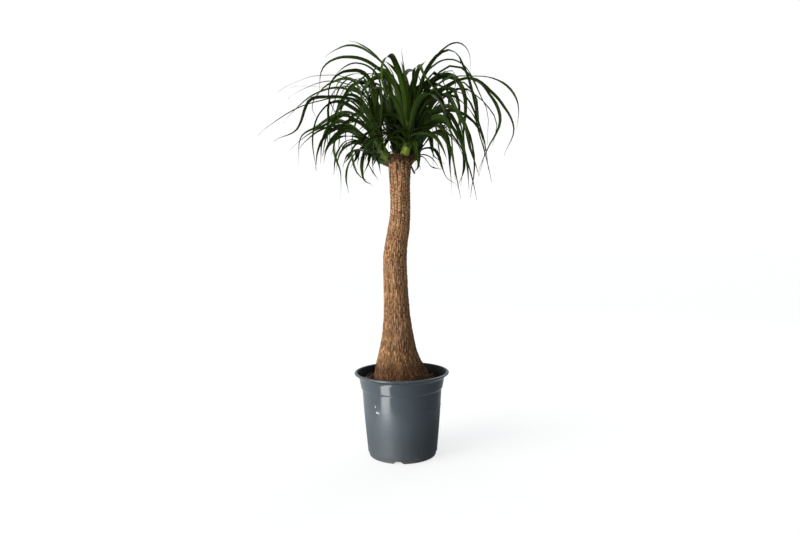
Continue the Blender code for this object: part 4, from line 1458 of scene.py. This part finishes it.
# %% Grow the sisters, shoot by shoot
LOWEST_SEAT = 0.10
SEAT_SPAN = 0.86
SOURCE_LUCK = (-2.5, 1.5)
TURN_LUCK = 0.5
REACH = (0.50, 0.88)
RISE = (0.72, 1.0)
LOWEST_TIPS = (0.685, 0.775)
BREAKS_AT = (0.35, 0.65)
FEWEST_PLACES = 5
SISTER_FULLNESS = 1.05
MOST_IN_A_PIECE = 14
MOST_SWAY = (0.035, 0.035, 0.025)
BROKEN_SHARE = 0.25
for shoot in SHOOTS:
    lines = [cad_lines[name] for name in leaf_nodes if name.startswith(f"leaf_{shoot}_")]
    lines.sort(key=lambda line: seat_share(shoot, line[0][0]))
    grown = []
    for i in range(SISTERS[shoot]):
        share = LOWEST_SEAT + SEAT_SPAN * i / SISTERS[shoot]
        nearest = round(share * len(lines) + luck.uniform(*SOURCE_LUCK))
        source = lines[min(len(lines) - 1, max(0, nearest))]
        turned = GOLDEN_TURN * (i + 1) + luck.uniform(-TURN_LUCK, TURN_LUCK)
        reach = luck.uniform(*REACH)
        rise = luck.uniform(*RISE)
        lowest = luck.uniform(*LOWEST_TIPS)
        sway = Vector([luck.uniform(-most, most) for most in MOST_SWAY])
        broken = luck.uniform(*BREAKS_AT) if luck.random() < BROKEN_SHARE else 1.0
        line = sister_line(shoot, source, share, turned, reach, rise, lowest, sway, broken)
        if len(line) < FEWEST_PLACES:
            continue
        line = [(place, width * SISTER_FULLNESS) for place, width in line]
        grown.append(grow_leaf(small_blade, line, 1 - YOUTH_AND_LIGHT[shoot] * share, luck))
    parts = math.ceil(len(grown) / MOST_IN_A_PIECE)
    for part in range(parts):
        leaf_pieces.append(gather(grown[part::parts], f"sisters_{shoot}_{part + 1}"))

# %% [markdown]
# ### Stray leaves
# Some forty leaves stand out singly: they shape the crown's outline, or cross in front of its stems. Their
# lines are given one by one, in centimetres, from the shoot they spring from.

# %% Shoot, seat, width in millimetres, and the way points of each stray leaf
STRAY_FULLNESS = ((0, 0.4, 0.8, 1), (0.8, 1, 0.6, 0.25))
STRAY_AGE_AND_SHADE = 0.8
HEART_AGE_AND_SHADE = 0.25
HEART_TURN = 0.1
CM_IN_A_METRE = 100
STRAYS = (
    ("main", 0.70, 6, ((-0.8, -2, 93), (-2.8, -3, 96.4), (-5.3, -4, 99.2), (-8.3, -5, 101.3),
                       (-10.5, -6, 102))),
    ("left", 0.80, 7, ((-7, 2, 93), (-8.8, 2, 95.4), (-11.8, 3, 94.8), (-13.8, 3, 93), (-15.3, 4, 90),
                       (-15.8, 4, 87))),
    ("left", 0.55, 9, ((-7, -4, 81), (-10.3, -6, 83.3), (-14, -7, 84.2), (-17, -7, 82.3),
                       (-21, -8, 80), (-24.6, -9, 77))),
    ("left", 0.65, 9, ((-9, 4, 92), (-15, 5, 94), (-17.8, 6, 91), (-18.2, 6, 86), (-18.6, 6, 82),
                       (-18.5, 6, 80))),
    ("low", 0.60, 10, ((-9, -2, 78.5), (-12.3, -3, 79), (-14.3, -4, 77), (-15.5, -4, 74.5),
                       (-15.9, -4, 71.5))),
    ("low", 0.45, 9, ((-8, -5, 77.5), (-10.8, -6, 77), (-10.9, -6, 73), (-9.6, -6, 70), (-7.6, -5, 68.8))),
    ("low", 0.30, 9, ((-7, -3, 76.5), (-9.5, -4, 76.3), (-12, -4, 73.5), (-13, -4, 69.5), (-12.6, -4, 67))),
    ("right", 0.80, 5, ((8, -3, 92), (13, -4, 96.5), (17, -4, 94.9), (19.7, -5, 89.6),
                        (21.7, -5, 84.9), (21.6, -5, 79))),
    ("right", 0.60, 9, ((7, -4, 88), (12.7, -5, 90.9), (14.4, -6, 87.6), (14.7, -6, 83), (14.2, -6, 79))),
    ("right", 0.50, 10, ((6, -5, 86), (11.5, -6, 89), (16.2, -6, 86.4), (18.7, -7, 82.2), (19.8, -7, 79))),
    ("right", 0.12, 5, ((4.6, -2, 75.2), (6.7, -3, 75.1), (8.4, -4, 73.8), (9.7, -4, 71.9))),
    ("right", 0.35, 11, ((6, -4, 80), (10, -5, 82), (13.2, -6, 79), (16, -6, 74), (17.6, -6, 69),
                         (18.4, -6, 65.5))),
    ("right", 0.40, 11, ((6, -3, 81), (11, -4, 83), (14.5, -5, 79), (16.5, -5, 73), (16.9, -5, 68))),
    ("left", 0.90, 4, ((-10, -6, 92), (-19.1, -8, 93.4), (-24, -9, 91.7), (-27, -9, 90.4))),
    ("left", 0.75, 4, ((-9, -7, 89), (-18.5, -9, 90.5), (-24, -10, 90.5))),
    ("left", 0.35, 11, ((-8.5, -3, 83), (-11.5, -4, 85), (-14.5, -5, 84), (-17, -6, 80.5),
                        (-18.2, -6, 76))),
    ("left", 0.25, 11, ((-8, -5, 81.5), (-11, -7, 83), (-13.5, -8, 81.5), (-15.2, -9, 78))),
    ("left", 0.50, 10, ((-9, 0, 87), (-12, 1, 89.5), (-15, 2, 88), (-17, 2, 84), (-17.6, 2, 80))),
    ("low", 0.85, 10, ((-11, -1, 81.5), (-14, -1, 84), (-17, -1, 83), (-19, -1, 79.5), (-19.5, -1, 75))),
    ("low", 0.70, 10, ((-10.5, 1, 80.5), (-13, 1, 82), (-15.5, 1, 80.5), (-16.8, 1, 77))),
    ("main", 0.34, 12, ((-3, -3, 82.5), (-6.5, -4, 83), (-9.5, -5, 81.2))),
    ("main", 0.30, 13, ((-3, -4, 80), (-6.5, -6, 80.3), (-9.5, -7, 78.2), (-11.5, -8, 75.2))),
    ("main", 0.26, 12, ((-2.5, -5, 78.5), (-5, -7, 79), (-7, -8.5, 77.5), (-8.5, -9, 75))),
    ("main", 0.30, 12, ((5, -3, 81.5), (8, -4, 82.2), (11, -5, 80.8), (13.5, -6, 78))),
    ("main", 0.26, 12, ((5, -4, 79.5), (7.5, -6, 79.8), (9.8, -7, 77.5), (11.2, -8, 74))),
    ("main", 0.45, 12, ((0.5, -5.5, 81), (-2, -7, 81.8), (-5, -9, 80.8), (-7.5, -10, 78))),
    ("main", 0.38, 8, ((3, -5.5, 79.3), (5.5, -7, 79.6), (8, -9, 78.5), (10, -10, 76))),
    ("main", 0.50, 11, ((0.5, -6, 83), (-1.5, -7.5, 84), (-5, -10, 83), (-8, -12, 80))),
    ("main", 0.33, 12, ((0.8, -5.5, 78.6), (-1, -6.5, 78.9), (-3.5, -8, 77.8), (-5.5, -9, 75.4))),
    ("main", 0.42, 7, ((3, -5.5, 80.5), (5.5, -7, 81), (9, -9, 80.6), (12.5, -10, 78.5))),
    ("main", 0.36, 11, ((1.6, -6, 79.4), (0.6, -8, 80.2), (-1.2, -9.5, 79.2), (-2.6, -10, 77.2))),
    ("low", 0.75, 11, ((-10, -3, 81), (-14, -4, 82), (-17.5, -5, 80), (-19.5, -6, 76), (-20, -6, 73))),
    ("low", 0.55, 11, ((-9, -5, 80), (-12, -7, 81), (-15.5, -8, 79), (-17.5, -9, 75.5))),
    ("right", 0.45, 10, ((7, -3, 83), (11, -3, 86), (14, -3, 83), (15.6, -3, 78), (16, -3, 73),
                         (15.4, -3, 69))),
    ("right", 0.30, 10, ((6, -2, 79), (9.5, -3, 80.5), (12.4, -3, 77.5), (13.6, -3, 73), (13.8, -3, 70))),
    ("right", 0.55, 11, ((8, 2, 86), (13, 3, 88), (17, 4, 84), (19, 4, 78), (19.4, 4, 72), (18.6, 4, 67))),
    ("right", 0.62, 12, ((9, -1, 88), (14, -2, 91), (18, -3, 87), (19.5, -3, 81), (21, -3, 76),
                         (22.5, -3, 70))),
    ("right", 0.70, 12, ((9, 1, 90), (15, 1, 94), (19, 1, 91), (20.2, 1, 84), (21.5, 1, 78))),
    ("right", 0.42, 12, ((7, -5, 84), (12, -7, 86), (15.5, -8, 82), (17, -8, 76), (18.6, -8, 71))),
)
# Two young blades that fill the upright heart.
HEART = (
    ("main", 0.92, 18, ((1.2, -4, 86.5), (-0.4, -4.2, 91.5), (-3, -4.6, 95.2), (-5, -5, 96.2))),
    ("main", 0.96, 17, ((2.8, -4, 87.5), (4, -4.2, 92.5), (5.4, -4.5, 96), (6.4, -5, 97))),
)


def stray_line(shoot, share, width_mm, route_cm):
    """The line of a stray leaf from its stem, fullest before the middle and fine at its tip."""
    places = [stem_point(shoot, share)] + [Vector(point) / CM_IN_A_METRE for point in route_cm]
    last = len(places) - 1
    fullness = [float(np.interp(i / last, *STRAY_FULLNESS)) for i in range(last + 1)]
    return [(place, width_mm * MM * full) for place, full in zip(places, fullness)]


strays = [grow_leaf(small_blade, stray_line(*stray), STRAY_AGE_AND_SHADE, luck) for stray in STRAYS]
strays += [grow_leaf(full_blade, stray_line(*stray), HEART_AGE_AND_SHADE, luck, HEART_TURN) for stray in HEART]
leaf_pieces.append(gather(strays, "stray_leaves"))
for blade in (full_blade, small_blade):
    bpy.data.objects.remove(blade)

# %% [markdown]
# ### Leaf finish
# A ponytail palm's blade is deep green and waxy, with fine parallel veins and a paler channel at the midrib.
# The pale midrib line and the pale margins are also a painted highlight along the fold and the edges. Its
# foot is yellow-green, and the last tenth dries to a grey-brown thread. Young leaves at the heart are a
# brighter green than old ones, and the darker green of the old, low leaves is also painted shade from the
# crown. Everything is painted on the blade's own map, so the veins follow each bend.

# %% Waxy veined green
green = Finish("leaf_waxy_green", Specular_IOR_Level=0.09)
own = green.node("ShaderNodeUVMap", {"uv_map": "blade"}, {}).outputs[0]
split = green.node("ShaderNodeSeparateXYZ", {}, {0: own})
across = Number(green, split.outputs[0])
length = Number(green, split.outputs[1])
age_and_shade = green.attribute("age_and_shade")
tone = green.attribute("tone")
below = green.attribute("below")
from_rib = green.number("ShaderNodeMath", {"operation": "ABSOLUTE"}, {0: across - 0.5})
drawn_out = green.node("ShaderNodeMapping", {}, {"Vector": own, "Scale": (9, 0.9, 1)}).outputs[0]
streak = green.noise(drawn_out, 1.0, detail=2)
mottle = green.noise(green.places(), 45, detail=3)
veins = green.number("ShaderNodeMath", {"operation": "SINE"}, {0: across * 88})
fresh_and_lit = 1 - 0.8 * age_and_shade
dry_tip = green.rise(length + 0.03 * tone, 0.950, 0.985)
blade_green = green.paint(
    # Old leaves are darker green; this also paints the shade that falls on the crown's low leaves.
    green.mix(age_and_shade, (0.022, 0.052, 0.0016), (0.0068, 0.0178, 0.0014)),
    (0.40 * green.rise(tone, 0.5, 1.0), (0.030, 0.064, 0.006)),
    (0.85 * fresh_and_lit * green.rise(streak, 0.46, 0.66), (0.080, 0.124, 0.005)),
    (0.40 * green.rise(mottle, 0.5, 0.8), (0.014, 0.034, 0.004)),
    # Pale midrib line: the blade's paler channel, and a painted highlight along the fold.
    (0.80 * fresh_and_lit * green.rise(from_rib, 0.05, 0.012), (0.10, 0.19, 0.030)),
    (0.25 * below, (0.036, 0.064, 0.007)),
    (0.60 * green.rise(length, 0.06, 0.01), (0.20, 0.28, 0.035)),
    # Pale margins: the blade's own paler edge, and a painted highlight along it.
    (0.50 * fresh_and_lit * green.rise(from_rib, 0.45, 0.5), (0.070, 0.095, 0.020)),
    (0.80 * dry_tip, (0.075, 0.060, 0.034)),
)
waxy = 0.30 + 0.10 * mottle + 0.12 * below + 0.3 * dry_tip
ribbing = 0.5 * veins - 2.0 * green.rise(from_rib, 0.06, 0.0)
leaf_skin = green.finish(blade_green, waxy, ribbing, depth=0.00012)
for piece in leaf_pieces:
    wear(piece, leaf_skin)
    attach(piece, "root")
print(f"{len(leaf_pieces)} leaf pieces")

# %% Print the visual box
low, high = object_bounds()
print("visual box in mm:", [round(side / MM) for side in high - low])
